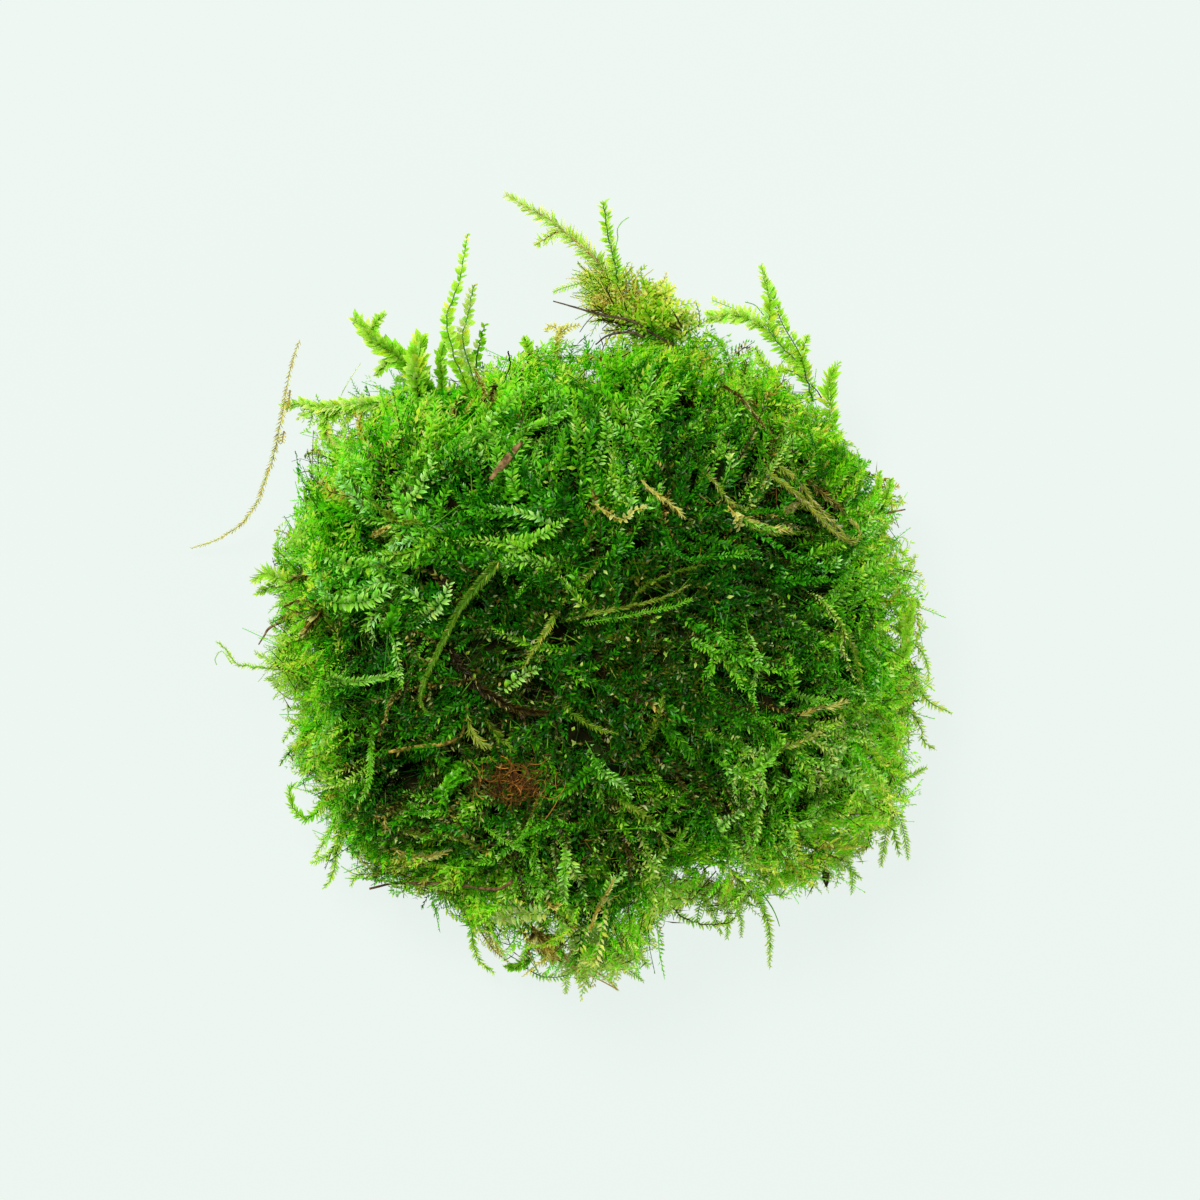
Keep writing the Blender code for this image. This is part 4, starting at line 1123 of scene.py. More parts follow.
LONG_SHOOTS = [
    ("frond", 0.88, 0.74, (0.9, 1.55, 0.9), (0.6, 1.5),
     [(323, 555), (345, 564), (372, 567), (402, 560)]),
    ("frond", 0.90, 0.74, (0.9, 1.55, 0.9), (0.6, 1.5),
     [(321, 599), (345, 603), (372, 599), (394, 585)]),
    ("frond", 0.97, 0.50, (0.7, 1.35, 0.8), (0.6, 1.2),
     [(413, 629), (427, 616), (441, 603), (449, 584)]),
    ("frond", 0.88, 0.60, (0.6, 1.2, 0.8), (0.4, 1.2), [(392, 556), (400, 572), (404, 590)]),
    ("lush", 0.98, 0.92, (0.3, 0.45, 0.3), (0.8, 1.2), [(391, 774), (396, 768), (402, 764)]),
    ("fern", 0.84, 0.70, (0.9, 1.3, 0.6), (0.2, 1.6),
     [(464, 456), (484, 431), (494, 419), (525, 390), (560, 382)]),
    ("lush", 0.78, 0.60, (0.9, 1.2, 0.6), (0.2, 1.4),
     [(500, 460), (525, 433), (545, 423), (566, 413)]),
    ("fern", 0.94, 0.64, (0.9, 1.3, 0.8), (0.2, 1.6),
     [(394, 513), (411, 501), (423, 484), (431, 468), (433, 452)]),
    ("comb", 0.74, 0.60, (0.7, 1.0, 0.6), (0.1, 0.8), [(315, 525), (317, 505), (319, 484)]),
    ("fern", 0.86, 0.74, (0.8, 1.25, 0.7), (0.2, 1.5),
     [(484, 554), (504, 543), (525, 541), (545, 533), (566, 519)]),
    ("feather", 0.88, 0.80, (0.6, 0.9, 0.7), (0.3, 1.4),
     [(325, 676), (347, 682), (370, 680), (396, 674)]),
    ("fern", 0.97, 0.60, (0.6, 0.9, 0.6), (0.4, 1.0), [(606, 480), (623, 497), (639, 510)]),
    ("feather", 0.78, 0.80, (0.4, 0.6, 0.5), (0.8, 1.6),
     [(580, 623), (608, 619), (645, 612), (675, 606), (691, 599)]),
    ("feather", 0.88, 0.80, (0.5, 0.8, 0.5), (0.4, 1.2), [(732, 510), (745, 521), (775, 530)]),
    ("lush", 0.76, 0.60, (0.7, 1.0, 0.6), (0.2, 0.9), [(853, 484), (858, 513), (860, 541)]),
    ("scaly", 0.10, 0.10, (0.25, 0.35, 0.2), (1.2, 1.4),
     [(724, 386), (740, 398), (757, 418), (765, 428)]),
    ("shaggy", 0.11, 0.10, (0.5, 0.8, 0.5), (0.4, 1.0),
     [(806, 480), (818, 490), (836, 505), (846, 515)]),
    ("comb", 0.84, 0.66, (0.7, 1.0, 0.6), (0.4, 1.6), [(812, 452), (811, 432), (810, 414)]),
    ("comb", 0.86, 0.70, (0.7, 1.0, 0.6), (0.4, 1.6), [(858, 500), (860, 478), (859, 456)]),
    ("lush", 0.62, 0.55, (1.0, 1.5, 1.0), (0.6, 1.6), [(388, 642), (392, 626), (396, 610)]),
    ("shaggy", 0.12, 0.10, (0.6, 0.9, 0.6), (0.4, 1.0), [(318, 568), (303, 575), (288, 582)]),
    ("shaggy", 0.13, 0.10, (0.5, 0.7, 0.5), (0.4, 1.2), [(318, 604), (300, 600), (286, 606)]),
    ("scaly", 0.12, 0.11, (0.5, 0.7, 0.5), (0.3, 1.0), [(322, 610), (314, 622), (305, 634)]),
    ("feather", 0.80, 0.78, (0.5, 0.7, 0.5), (0.4, 0.9),
     [(375, 710), (371, 747), (369, 781), (360, 801), (352, 812)]),
    ("scaly", 0.10, 0.09, (0.25, 0.35, 0.25), (0.6, 1.0),
     [(415, 674), (402, 688), (391, 703), (384, 722), (379, 740)]),
    ("lush", 0.66, 0.56, (0.65, 0.85, 0.6), (0.4, 1.8),
     [(430, 798), (442, 790), (456, 781), (468, 777)]),
    ("lush", 0.72, 0.58, (0.6, 0.8, 0.5), (0.6, 1.6),
     [(446, 806), (444, 792), (449, 780), (460, 770)]),
    ("bare", 0.60, 0.62, (0.3, 0.3, 0.3), (0.5, 1.2),
     [(447, 803), (445, 816), (436, 831), (430, 840)]),
    ("feather", 0.92, 0.86, (0.4, 0.7, 0.4), (0.5, 1.4), [(408, 803), (419, 812), (430, 816)]),
    ("feather", 0.86, 0.84, (0.4, 0.6, 0.4), (0.5, 1.2),
     [(484, 827), (497, 836), (510, 844), (523, 851)]),
    ("comb", 0.90, 0.78, (0.6, 1.1, 0.9), (0.8, 2.2),
     [(568, 833), (566, 855), (564, 879), (565, 900)]),
    ("comb", 0.86, 0.74, (0.5, 0.9, 0.5), (0.8, 1.8), [(541, 868), (541, 885), (538, 900)]),
    ("comb", 0.95, 0.50, (0.6, 0.9, 0.6), (1.4, 2.0), [(606, 892), (614, 880), (624, 872)]),
    ("lush", 0.84, 0.70, (0.7, 1.1, 0.7), (0.3, 1.2),
     [(738, 771), (754, 769), (771, 755), (782, 741)]),
    ("feather", 0.86, 0.84, (0.4, 0.7, 0.9), (0.4, 1.2), [(715, 759), (741, 773), (761, 789)]),
    ("feather", 0.88, 0.80, (0.5, 0.8, 0.5), (0.4, 1.2),
     [(793, 693), (810, 700), (828, 702), (844, 707)]),
    ("bare", 0.92, 0.92, (0.3, 0.3, 0.3), (0.6, 1.2), [(780, 778), (798, 782), (819, 787)]),
    ("fern", 0.96, 0.70, (0.8, 1.1, 0.8), (0.4, 1.4), [(715, 831), (729, 819), (741, 812)]),
    ("bare", 0.03, 0.02, (0.3, 0.3, 0.3), (3.0, 1.0), [(508, 351), (510, 365), (503, 384)]),
    ("scaly", 0.09, 0.09, (0.5, 0.7, 0.5), (0.6, 1.0), [(497, 386), (493, 393), (488, 404)]),
    ("scaly", 0.10, 0.09, (0.5, 0.7, 0.5), (0.6, 1.0), [(466, 396), (461, 402), (455, 411)]),
    ("fern", 0.93, 0.30, (0.8, 1.1, 0.7), (0.4, 1.2),
     [(503, 690), (514, 682), (524, 674), (538, 668)]),
    ("comb", 0.66, 0.50, (0.9, 1.2, 0.7), (0.4, 1.2),
     [(603, 758), (590, 772), (572, 786), (552, 800)]),
    ("comb", 0.74, 0.60, (0.8, 1.1, 0.6), (0.4, 1.2),
     [(640, 432), (655, 420), (668, 404), (676, 388)]),
    ("fern", 0.90, 0.60, (0.8, 1.2, 0.6), (0.3, 1.2),
     [(596, 470), (604, 450), (607, 430), (603, 408)]),
    ("comb", 0.80, 0.60, (0.8, 1.2, 0.6), (0.3, 1.4),
     [(520, 500), (512, 478), (516, 455), (529, 440)]),
    ("comb", 0.82, 0.62, (0.7, 1.0, 0.5), (0.3, 1.2),
     [(690, 640), (712, 652), (730, 668), (742, 690)]),
]
long_chance = np.random.default_rng(LONG_SEED)
make_piece(
    "long_shoots", long_shoots(LONG_SHOOTS, long_chance), moss_leaf, "bright_green", "moss_cushion"
)

# Old ones among them have turned an even olive and hang on as long soft strands.
OLD_SHOOTS = [
    ("wisp", 0.86, 0.82, (0.45, 0.55, 0.3), (1.4, 1.8),
     [(779, 466), (798, 482), (807, 496), (820, 510), (840, 530), (847, 538)]),
    ("wisp", 0.88, 0.84, (0.4, 0.6, 0.4), (1.4, 1.6), [(807, 502), (797, 505), (786, 511)]),
    ("wisp", 0.80, 0.76, (0.4, 0.7, 0.3), (0.8, 1.2),
     [(467, 713), (470, 728), (478, 739), (489, 747)]),
    ("wisp", 0.72, 0.66, (0.4, 0.6, 0.3), (0.6, 1.0),
     [(485, 718), (495, 732), (505, 742), (514, 750)]),
    ("feather", 0.80, 0.72, (0.4, 0.7, 0.4), (0.5, 1.4),
     [(574, 588), (560, 606), (549, 626), (536, 646), (522, 668)]),
    ("feather", 0.70, 0.62, (0.35, 0.6, 0.3), (0.2, 1.0), [(600, 560), (590, 574), (576, 588)]),
    ("wisp", 0.80, 0.70, (0.25, 0.4, 0.2), (0.4, 1.2),
     [(560, 622), (585, 615), (612, 610), (640, 604), (668, 596), (690, 585)]),
    ("wisp", 0.72, 0.66, (0.2, 0.35, 0.2), (0.4, 1.2),
     [(630, 606), (641, 589), (656, 580), (680, 571), (697, 567)]),
    ("wisp", 0.68, 0.62, (0.28, 0.42, 0.2), (0.2, 1.0),
     [(740, 522), (762, 532), (784, 534), (806, 530)]),
    ("feather", 0.74, 0.66, (0.4, 0.7, 0.3), (0.6, 1.4),
     [(640, 750), (652, 732), (660, 712), (664, 692)]),
    ("wisp", 0.78, 0.70, (0.3, 0.45, 0.2), (0.6, 1.4),
     [(700, 470), (716, 484), (728, 500), (744, 510)]),
    ("feather", 0.72, 0.66, (0.4, 0.7, 0.3), (0.6, 1.4),
     [(560, 700), (575, 716), (596, 728), (618, 734)]),
    ("feather", 0.76, 0.70, (0.4, 0.75, 0.4), (0.8, 1.6),
     [(838, 620), (850, 640), (858, 664), (862, 690)]),
    ("wisp", 0.74, 0.70, (0.4, 0.6, 0.3), (0.8, 1.6),
     [(400, 830), (424, 836), (448, 834), (470, 842)]),
    ("feather", 0.78, 0.70, (0.4, 0.75, 0.4), (0.8, 1.6),
     [(618, 800), (640, 812), (658, 828), (668, 848)]),
    ("wisp", 0.72, 0.66, (0.4, 0.6, 0.3), (0.8, 1.6),
     [(370, 500), (384, 512), (400, 520), (420, 522)]),
    ("feather", 0.84, 0.76, (0.4, 0.7, 0.4), (0.6, 1.6),
     [(760, 760), (780, 748), (802, 742), (822, 730)]),
]
make_piece(
    "old_strands", long_shoots(OLD_SHOOTS, long_chance), old_leaf, "olive_shoot", "moss_cushion"
)

# Dead ones are pale straw, with what is left of their leaves.
DEAD_SHOOTS = [
    ("scaly", 0.165, 0.15, (0.3, 0.5, 0.3), (1.2, 1.6), [(372, 536), (380, 532), (387, 528)]),
    ("scaly", 0.115, 0.10, (0.5, 0.8, 0.5), (1.2, 2.0),
     [(531, 926), (540, 938), (549, 950), (556, 957)]),
    ("wisp", 0.13, 0.11, (0.4, 0.6, 0.4), (1.4, 2.2),
     [(520, 928), (530, 940), (541, 950), (550, 956)]),
    ("wisp", 0.20, 0.19, (0.3, 0.5, 0.3), (0.2, 0.9),
     [(641, 480), (654, 493), (673, 506), (684, 517)]),
    ("beaded", 0.205, 0.20, (0.5, 0.8, 0.6), (0.6, 1.2),
     [(595, 504), (608, 513), (623, 519), (636, 510), (647, 506)]),
    ("beaded", 0.20, 0.19, (0.6, 0.9, 0.6), (0.4, 1.0), [(728, 506), (736, 516), (740, 528)]),
    ("wisp", 0.17, 0.16, (0.3, 0.4, 0.2), (0.5, 1.0), [(384, 816), (385, 824), (386, 833)]),
    ("scaly", 0.185, 0.165, (0.3, 0.4, 0.25), (1.6, 2.6),
     [(590, 930), (598, 909), (607, 893), (614, 879)]),
    ("scaly", 0.15, 0.13, (0.25, 0.35, 0.25), (1.6, 2.2), [(547, 902), (553, 907), (559, 905)]),
    ("wisp", 0.17, 0.15, (0.4, 0.6, 0.3), (1.4, 1.0),
     [(474, 368), (480, 382), (484, 396), (485, 410)]),
    ("wisp", 0.19, 0.17, (0.4, 0.6, 0.3), (0.4, 1.0),
     [(744, 516), (757, 524), (778, 530), (795, 528)]),
    ("wisp", 0.21, 0.19, (0.4, 0.6, 0.3), (0.6, 1.4),
     [(800, 716), (816, 708), (832, 706), (846, 700)]),
    ("wisp", 0.20, 0.17, (0.4, 0.6, 0.3), (0.4, 1.0),
     [(392, 848), (412, 856), (434, 856), (450, 850)]),
]
make_piece(
    "dead_strands", long_shoots(DEAD_SHOOTS, long_chance), dead_leaf, "dead_orange", "moss_cushion"
)

# Threads and crumbs. Dead stems, brown root hairs and single leaves that have
# come away are caught all over the turf, most of them in its dull middle. The
# pale single leaves also stand in as painted highlights of wet gloss.

THREADS = 46
THREAD_BOTTOM = 0.004
THREAD_LENGTHS = (0.004, 0.011)
THREAD_RADII = (0.00004, 0.00009)
THREAD_CURL = 0.55
THREAD_SHADES = [(0.03, 0.08), (0.27, 0.31), (0.60, 0.85), (0.04, 0.12)]
FUZZ = 12000
CRUMBS_AND_GLINTS = 3200
CRUMB_SEED = 28


def thread_parts(host, count, chance):
    """Bare threads that creep every way, their ends rising off the turf by a
    chance height times the share cubed."""
    middles = scattered(host, count, chance, THREAD_BOTTOM)
    _, normals = nearest_patch(host, middles)
    heading = any_way(normals, chance)
    lengths = chance.uniform(*THREAD_LENGTHS, count)
    share = np.linspace(0, 1, CREEP_STEPS + 1)
    heights = chance.uniform(-0.0012, 0.0004, count)[:, None] + np.abs(
        chance.normal(0, 0.0009, count)
    )[:, None] * share**3
    bend = chance.normal(0, THREAD_CURL, count)
    paths, ups = crept(host, middles, heading, lengths, heights, bend, relief)
    low, high = np.array(THREAD_SHADES)[chance.integers(0, len(THREAD_SHADES), count)].T
    thick = chance.uniform(*THREAD_RADII, count)
    return [stems(paths, ups, thick, thick * 0.5, chance.uniform(low, high))]


def crumb_parts(host, count, form, lengths, slim, height, shades, spots, chance):
    """Single leaves or hairs strewn over the host: the axis is a chance way
    along the surface, tipped up a little, and more of them lie at the spots."""
    points = scattered(host, count, chance, 0.003, 0)
    _, normals = nearest_patch(host, points)
    kept = chance.random(count) < spot_sum(points, spots)
    points, normals = points[kept], normals[kept]
    count = len(points)
    points, normals = settled(host, points, relief(points) + chance.uniform(*height, count))
    flat = any_way(normals, chance)
    axes = unit(flat + normals * chance.normal(0.15, 0.4, count)[:, None])
    ups = unit(normals + chance.normal(0, 0.35, (count, 3)))
    ups = unit(ups - axes * np.sum(ups * axes, axis=1, keepdims=True))
    size = chance.uniform(*lengths, count)
    low, high = np.array(shades)[chance.integers(0, len(shades), count)].T
    hues = chance.uniform(0.5, 3.4, count)
    return blades(form, points, axes, ups, size, size * slim, chance.uniform(low, high), hues)


FUZZ_SPOTS = [
    (520, 700, 130, 0.95), (640, 660, 120, 0.7), (360, 650, 50, 0.8), (700, 560, 90, 0.6),
    (450, 800, 90, 0.8), (620, 820, 110, 0.7), (790, 480, 80, 0.6), (740, 700, 90, 0.6),
    (800, 800, 80, 0.6), (330, 600, 60, 0.5), (600, 330, 60, 0.6), (480, 460, 140, 0.25),
]
CRUMB_AND_GLINT_SPOTS = [
    (540, 660, 70, 1.0), (600, 600, 70, 0.8), (640, 800, 70, 0.9), (560, 850, 60, 0.8),
    (700, 640, 80, 0.6), (760, 560, 80, 0.5), (480, 480, 110, 0.3), (470, 830, 50, 0.6),
]
crumb_chance = np.random.default_rng(CRUMB_SEED)
make_piece(
    "threads_crumbs_and_glints",
    thread_parts(cushion, THREADS, crumb_chance)
    + [
        crumb_parts(
            cushion, FUZZ, "sliver", (0.0012, 0.0034), 0.035, (-0.0022, 0.0002),
            [(0.04, 0.13), (0.27, 0.33), (0.40, 0.66), (0.60, 0.84)], FUZZ_SPOTS, crumb_chance,
        ),
        # Pale single leaves: partly fallen leaves, partly painted highlights.
        crumb_parts(
            cushion, CRUMBS_AND_GLINTS, "keeled", (0.0005, 0.0011), 0.50, (-0.0016, 0.0001),
            [(0.78, 0.96), (0.27, 0.31), (0.88, 1.0)], CRUMB_AND_GLINT_SPOTS, crumb_chance,
        ),
    ],
    moss_leaf,
    "olive_shoot",
    "moss_cushion",
)

# Rim sprigs. All round the waist, short shoots stand out past the thatch, thin
# enough for the light of the ground to come through them.

SPRIG_SEED = 31
SPRIGS = 560
SPRIG_STEPS = 6
SPRIG_TAPER = np.array([0.6, 1.0, 1.0, 1.0, 0.85, 0.6, 0.35])
SPRIG_DEPTH = 0.0030
SPRIG_LENGTHS = (0.0032, 0.0056)
SPRIG_LEAVES = (0.0006, 0.0010)
SPRIG_STEM = 0.00009
SPRIG_FACING = 0.62
SPRIG_BOTTOM, SPRIG_TOP = 0.004, 0.030
LIT_SIDE = (0.75, -0.65, 0.0)
LIT_SHADE = 0.12
LEAF_GAP = 0.55
UPWARD = np.array([0, 0, 1.0])


def drooping(roots, heading, side, lengths, bend, droop):
    """Paths from their roots: length times share along the heading, bent to the
    side and drooping by the share squared. Returns points and up directions."""
    share = np.linspace(0, 1, SPRIG_STEPS + 1)
    paths = (
        roots[:, None]
        + heading[:, None] * (lengths[:, None] * share)[..., None]
        + side[:, None] * (bend[:, None] * share**2)[..., None]
        - UPWARD * (droop[:, None] * share**2)[..., None]
    )
    return paths, np.broadcast_to(UPWARD, paths.shape)


def rim_sprigs(host, count, chance):
    """Short shoots that start inside the rim and stand out of it every way,
    painted paler as painted light on the side that the ground's light comes
    from. Leaves and stems."""
    roots = scattered(host, count * 3, chance, SPRIG_BOTTOM)
    _, normals = nearest_patch(host, roots)
    steep = (np.abs(normals[:, 2]) < SPRIG_FACING) & (roots[:, 2] < SPRIG_TOP)
    roots, normals = roots[steep][:count], normals[steep][:count]
    count = len(roots)
    tangent = unit(np.cross(normals, UPWARD))
    heading = unit(
        normals * chance.uniform(0.55, 1.0, count)[:, None]
        + tangent * chance.normal(0, 0.55, count)[:, None]
        + UPWARD * chance.normal(0.05, 0.25, count)[:, None]
    )
    lengths = chance.uniform(*SPRIG_LENGTHS, count)
    droop = chance.normal(0.0004, 0.0007, count)
    sideways = chance.normal(0, 0.0009, count)
    paths, ups = drooping(
        roots - normals * SPRIG_DEPTH, heading, tangent, lengths, sideways, droop
    )
    leaf = chance.uniform(*SPRIG_LEAVES, count)
    shade = chance.normal(0.76, 0.09, count) + LIT_SHADE * np.clip(normals @ LIT_SIDE, 0, 1)
    shade = np.clip(shade, 0.5, PALEST_LEAF)
    dead = chance.random(count) < 0.08
    shade = np.where(dead, chance.uniform(0.14, 0.24, count), shade)
    sizes = leaf[:, None] * SPRIG_TAPER
    pairs = np.maximum(5, np.round(lengths / leaf / LEAF_GAP)).astype(int)
    leaves = leafy(paths, ups, pairs, sizes, 0.36, 0.85, 0.1, shade, chance)
    thin = np.full(count, SPRIG_STEM)
    return [leaves, stems(paths[:, ::2], ups[:, ::2], thin, thin * 0.5, shade - 0.04)]


sprigs = rim_sprigs(cushion, SPRIGS, np.random.default_rng(SPRIG_SEED))
make_piece("rim_sprigs", sprigs, lit_rim_leaf, "bright_green", "moss_cushion")

# Crest. Old shoots stand up out of the north edge in a spray, yellow and brown
# at the foot and pale green at the tips, with bright young shoots among them.

SHOOT_SEED = 44
SPRAY_TAPER = np.array([0.6, 1.0, 1.0, 1.0, 0.9, 0.7, 0.4])
ROOT_DEPTH = 0.0012
SPRAY_STEM, BARE_STEM = 0.00008, 0.00013
shoot_chance = np.random.default_rng(SHOOT_SEED)
crest = host_of(*welded("crest_tuft"), 1)


def sprayed(host, rows, chance, hues=1.0):
    """Loose shoots by the handful, rooted in a host. A row: how many, their
    middle and spread in photo pixels, lowest and highest root in mm, azimuth
    and its half range, climb, shortest and longest in mm, leaf in mm and its
    width over length, shades, and stem shade. A root outside the host is moved
    into it, and its shoot leans out along the normal there."""
    parts = []
    for row in rows:
        count, middle, spread, (low, high), (azimuth, swing), climb = row[:6]
        (short, long), leaf, slim, (dull, bright), stem_shade = row[6:]
        places = np.array(middle) + chance.normal(0, 0.5, (count, 2)) * spread
        roots = table_places(places, chance.uniform(low, high, count) * MM)
        over, _ = nearest_patch(host, roots)
        sunk, _ = settled(host, roots, -ROOT_DEPTH)
        sunk, normals = settled(host, sunk, -ROOT_DEPTH)
        outside = (over > -ROOT_DEPTH)[:, None]
        roots = np.where(outside, sunk, roots)
        turn = np.radians(azimuth + chance.uniform(-swing, swing, count))
        rise = climb + chance.normal(0, 0.22, count)
        outward = 0.45 * (normals * outside)
        heading = unit(np.stack([np.cos(turn), np.sin(turn), rise], axis=1) + outward)
        side = unit(np.cross(UPWARD, heading))
        lengths = chance.uniform(short, long, count) * MM
        bend = chance.normal(0, 0.34, count) * lengths
        droop = np.abs(chance.normal(0, 0.16, count)) * lengths
        paths, ups = drooping(roots, heading, side, lengths, bend, droop)
        shade = chance.uniform(dull, bright, count)
        thin = (SPRAY_STEM if leaf else BARE_STEM) * chance.uniform(0.7, 1.4, count)
        parts.append(stems(paths, ups, thin, thin * 0.5, np.full(count, stem_shade)))
        if leaf:
            pairs = np.maximum(4, np.round(lengths / (leaf * MM) / LEAF_GAP)).astype(int)
            sizes = leaf * MM * chance.uniform(0.75, 1.2, (count, 1)) * SPRAY_TAPER
            parts.append(
                leafy(paths, ups, pairs, sizes, slim, 0.9, 0.15, shade, chance, hues=hues)
            )
    return parts


CREST_SPRAYS = [
    (80, (602, 292), (34, 30), (13, 21), (150, 50), 0.10,
     (2.6, 5.5), 0.95, 0.22, (0.84, 0.97), 0.60),
    (46, (632, 310), (40, 30), (12, 20), (100, 70), 0.20,
     (2.2, 4.6), 1.10, 0.42, (0.74, 0.95), 0.28),
    (60, (662, 318), (30, 34), (11, 19), (75, 65), 0.25,
     (2.0, 4.0), 1.25, 0.48, (0.80, 0.95), 0.76),
    (40, (644, 330), (44, 18), (7, 13), (100, 90), -0.10,
     (2.2, 4.6), 0.90, 0.38, (0.64, 0.86), 0.28),
    (34, (668, 343), (40, 16), (14, 20), (110, 80), 0.20,
     (2.2, 4.6), 0.95, 0.40, (0.60, 0.86), 0.30),
    (30, (634, 318), (30, 18), (20, 23), (110, 85), 0.20,
     (1.8, 3.4), 1.15, 0.48, (0.72, 0.93), 0.50),
    (18, (572, 286), (16, 22), (16, 20), (180, 50), 0.05,
     (2.0, 4.0), 0.65, 0.17, (0.90, 0.98), 0.86),
]
DEAD_SPRAYS = [
    (26, (600, 290), (32, 28), (14, 20), (160, 45), 0.10,
     (2.6, 5.5), 0.80, 0.20, (0.17, 0.21), 0.18),
    (40, (630, 306), (36, 26), (12, 21), (105, 60), 0.20,
     (2.2, 4.6), 0.95, 0.34, (0.17, 0.22), 0.17),
    (34, (628, 326), (50, 16), (16, 23), (150, 45), 0.02,
     (2.6, 6.0), 0.0, 0.10, (0.01, 0.10), 0.06),
    (18, (640, 316), (40, 20), (13, 21), (120, 60), 0.20,
     (3.0, 5.5), 0.0, 0.10, (0.2, 0.24), 0.20),
]
make_piece(
    "crest_spray", sprayed(crest, CREST_SPRAYS, shoot_chance, 1.6), lit_leaf, "yellow_green",
    "crest_tuft",
)
make_piece(
    "crest_dead_spray", sprayed(crest, DEAD_SPRAYS, shoot_chance), dead_leaf, "olive_shoot",
    "crest_tuft",
)


TIP_SHARE = 0.9
NAMED_WOBBLE = 0.00008


def named_shoots(rows):
    """Makes each shoot of the rows in place of its CAD node: node, slot, kind,
    shade, stem shade, half widths at root, middle and tip, and route in mm.
    The path stops short of the route by the leaves at its tip."""
    for node, slot, kind, shade, stem_shade, reach, route in rows:
        path = smooth_path(np.array(route) * MM, 4 * SHOOT_STEPS)
        length = np.linalg.norm(np.diff(path, axis=0), axis=1).sum() / MM
        kept = int(4 * SHOOT_STEPS * (1 - TIP_SHARE * reach[2] / length)) + 1
        path = smooth_path(path[:kept:4], SHOOT_STEPS)
        path[1:-1] += shoot_chance.normal(0, NAMED_WOBBLE, (len(path) - 2, 3))
        material, loose = (dead_leaf, 0.7) if slot == "dead_orange" else (lit_leaf, 1.0)
        parts = grown_shoot(
            path, (0, 0, 1), kind, reach, shade, stem_shade, shoot_chance, "ovate", loose
        )
        extra = SHOOT_KINDS[kind][3]
        for _ in range(extra):
            tilt = shoot_chance.uniform(-0.6, 0.6)
            up = (math.sin(tilt), 0.9 * math.sin(2 * tilt), 0.7)
            parts += grown_shoot(
                path, up, kind, [half * 0.75 for half in reach], shade + CROWN_SHADE * loose,
                stem_shade, shoot_chance, "ovate", loose, crown=True,
            )
        make_piece(node + "_leaves", parts, material, slot, node)


named_shoots([
    ("crest_shoot", "yellow_green", "spiky", 0.95, 0.21, (1.1, 1.75, 0.9),
     [(2.6, 50.0, 17), (0.6, 54.5, 19), (-2.7, 57.5, 20.5), (-7.1, 60.9, 21),
      (-11.2, 63.3, 20.5), (-13.2, 64.6, 20)]),
    ("crest_shoot_fork", "yellow_green", "spiky", 0.92, 0.20, (0.7, 1.2, 0.8),
     [(-4.4, 59.2, 20.6), (-6.9, 58.1, 20), (-8.8, 56.7, 19.2)]),
    ("crest_upright_shoot", "bright_green", "comb", 0.86, 0.60, (1.0, 1.3, 1.1),
     [(3.4, 50.5, 20), (2.6, 54.5, 22.5), (1.7, 58.0, 24), (1.3, 61.2, 25), (1.0, 63.7, 25.5)]),
    ("crest_orange_sprig", "dead_orange", "comb", 0.195, 0.18, (0.5, 0.9, 0.8),
     [(-5.6, 40.8, 13), (-5.6, 43.4, 15), (-4.9, 45.5, 16.5), (-4.4, 46.8, 17)]),
])

# North-west shoots. Two stout forked ones with fat leaves, and behind them
# tall thin ones whose small leaves stand apart like beads.

named_shoots([
    ("broad_shoot", "bright_green", "lush", 0.85, 0.58, (1.1, 1.8, 1.4),
     [(-22.6, 36.0, 15), (-25.1, 39.4, 17), (-28.4, 42.2, 19), (-31.6, 44.8, 20),
      (-34.2, 47.9, 20)]),
    ("broad_shoot_upper_fork", "bright_green", "lush", 0.90, 0.72, (0.5, 0.95, 0.6),
     [(-31.4, 44.9, 20.2), (-30.4, 46.4, 21), (-29.0, 47.9, 21)]),
    ("broad_shoot_lower_fork", "bright_green", "lush", 0.86, 0.60, (0.4, 1.0, 0.6),
     [(-28.2, 42.0, 18.5), (-29.7, 40.3, 18), (-30.9, 38.9, 17)]),
    ("short_shoot", "bright_green", "lush", 0.86, 0.36, (1.1, 2.0, 1.6),
     [(-24.6, 36.0, 20), (-24.8, 39.6, 22), (-24.6, 42.6, 22.5), (-23.7, 45.3, 22)]),
    ("tongue_shoot", "bright_green", "lush", 0.82, 0.62, (0.9, 1.1, 0.6),
     [(-21.4, 36.5, 17), (-21.6, 40.5, 19), (-21.2, 43.2, 19.5), (-19.9, 45.2, 19)]),
    ("tall_shoot_west", "leaf_green", "beaded", 0.86, 0.66, (1.0, 1.15, 0.6),
     [(-17.6, 36.5, 21), (-19.9, 42.4, 24), (-20.5, 46.9, 25), (-18.9, 51.4, 25),
      (-18.2, 55.5, 24), (-17.6, 59.3, 23)]),
    ("tall_shoot_east", "bright_green", "beaded", 0.92, 0.70, (1.0, 1.3, 0.7),
     [(-16.6, 37.0, 17), (-18.4, 43.6, 20), (-17.7, 47.6, 20.5), (-16.7, 52.2, 20)]),
    ("slanting_shoot", "leaf_green", "beaded", 0.78, 0.52, (0.7, 1.0, 0.6),
     [(-17.0, 38.0, 13.5), (-16.6, 42.4, 15.5), (-15.9, 44.8, 16.5), (-15.1, 47.0, 17)]),
    ("north_sprig", "bright_green", "lush", 0.84, 0.60, (0.9, 1.2, 0.6),
     [(-7.8, 39.0, 15), (-9.2, 42.4, 17), (-10.3, 44.8, 17.5)]),
])

# North-east shoots. One fern-like frond arches up and sends a branch over to
# the left, and thinner ones stand inside the arch.

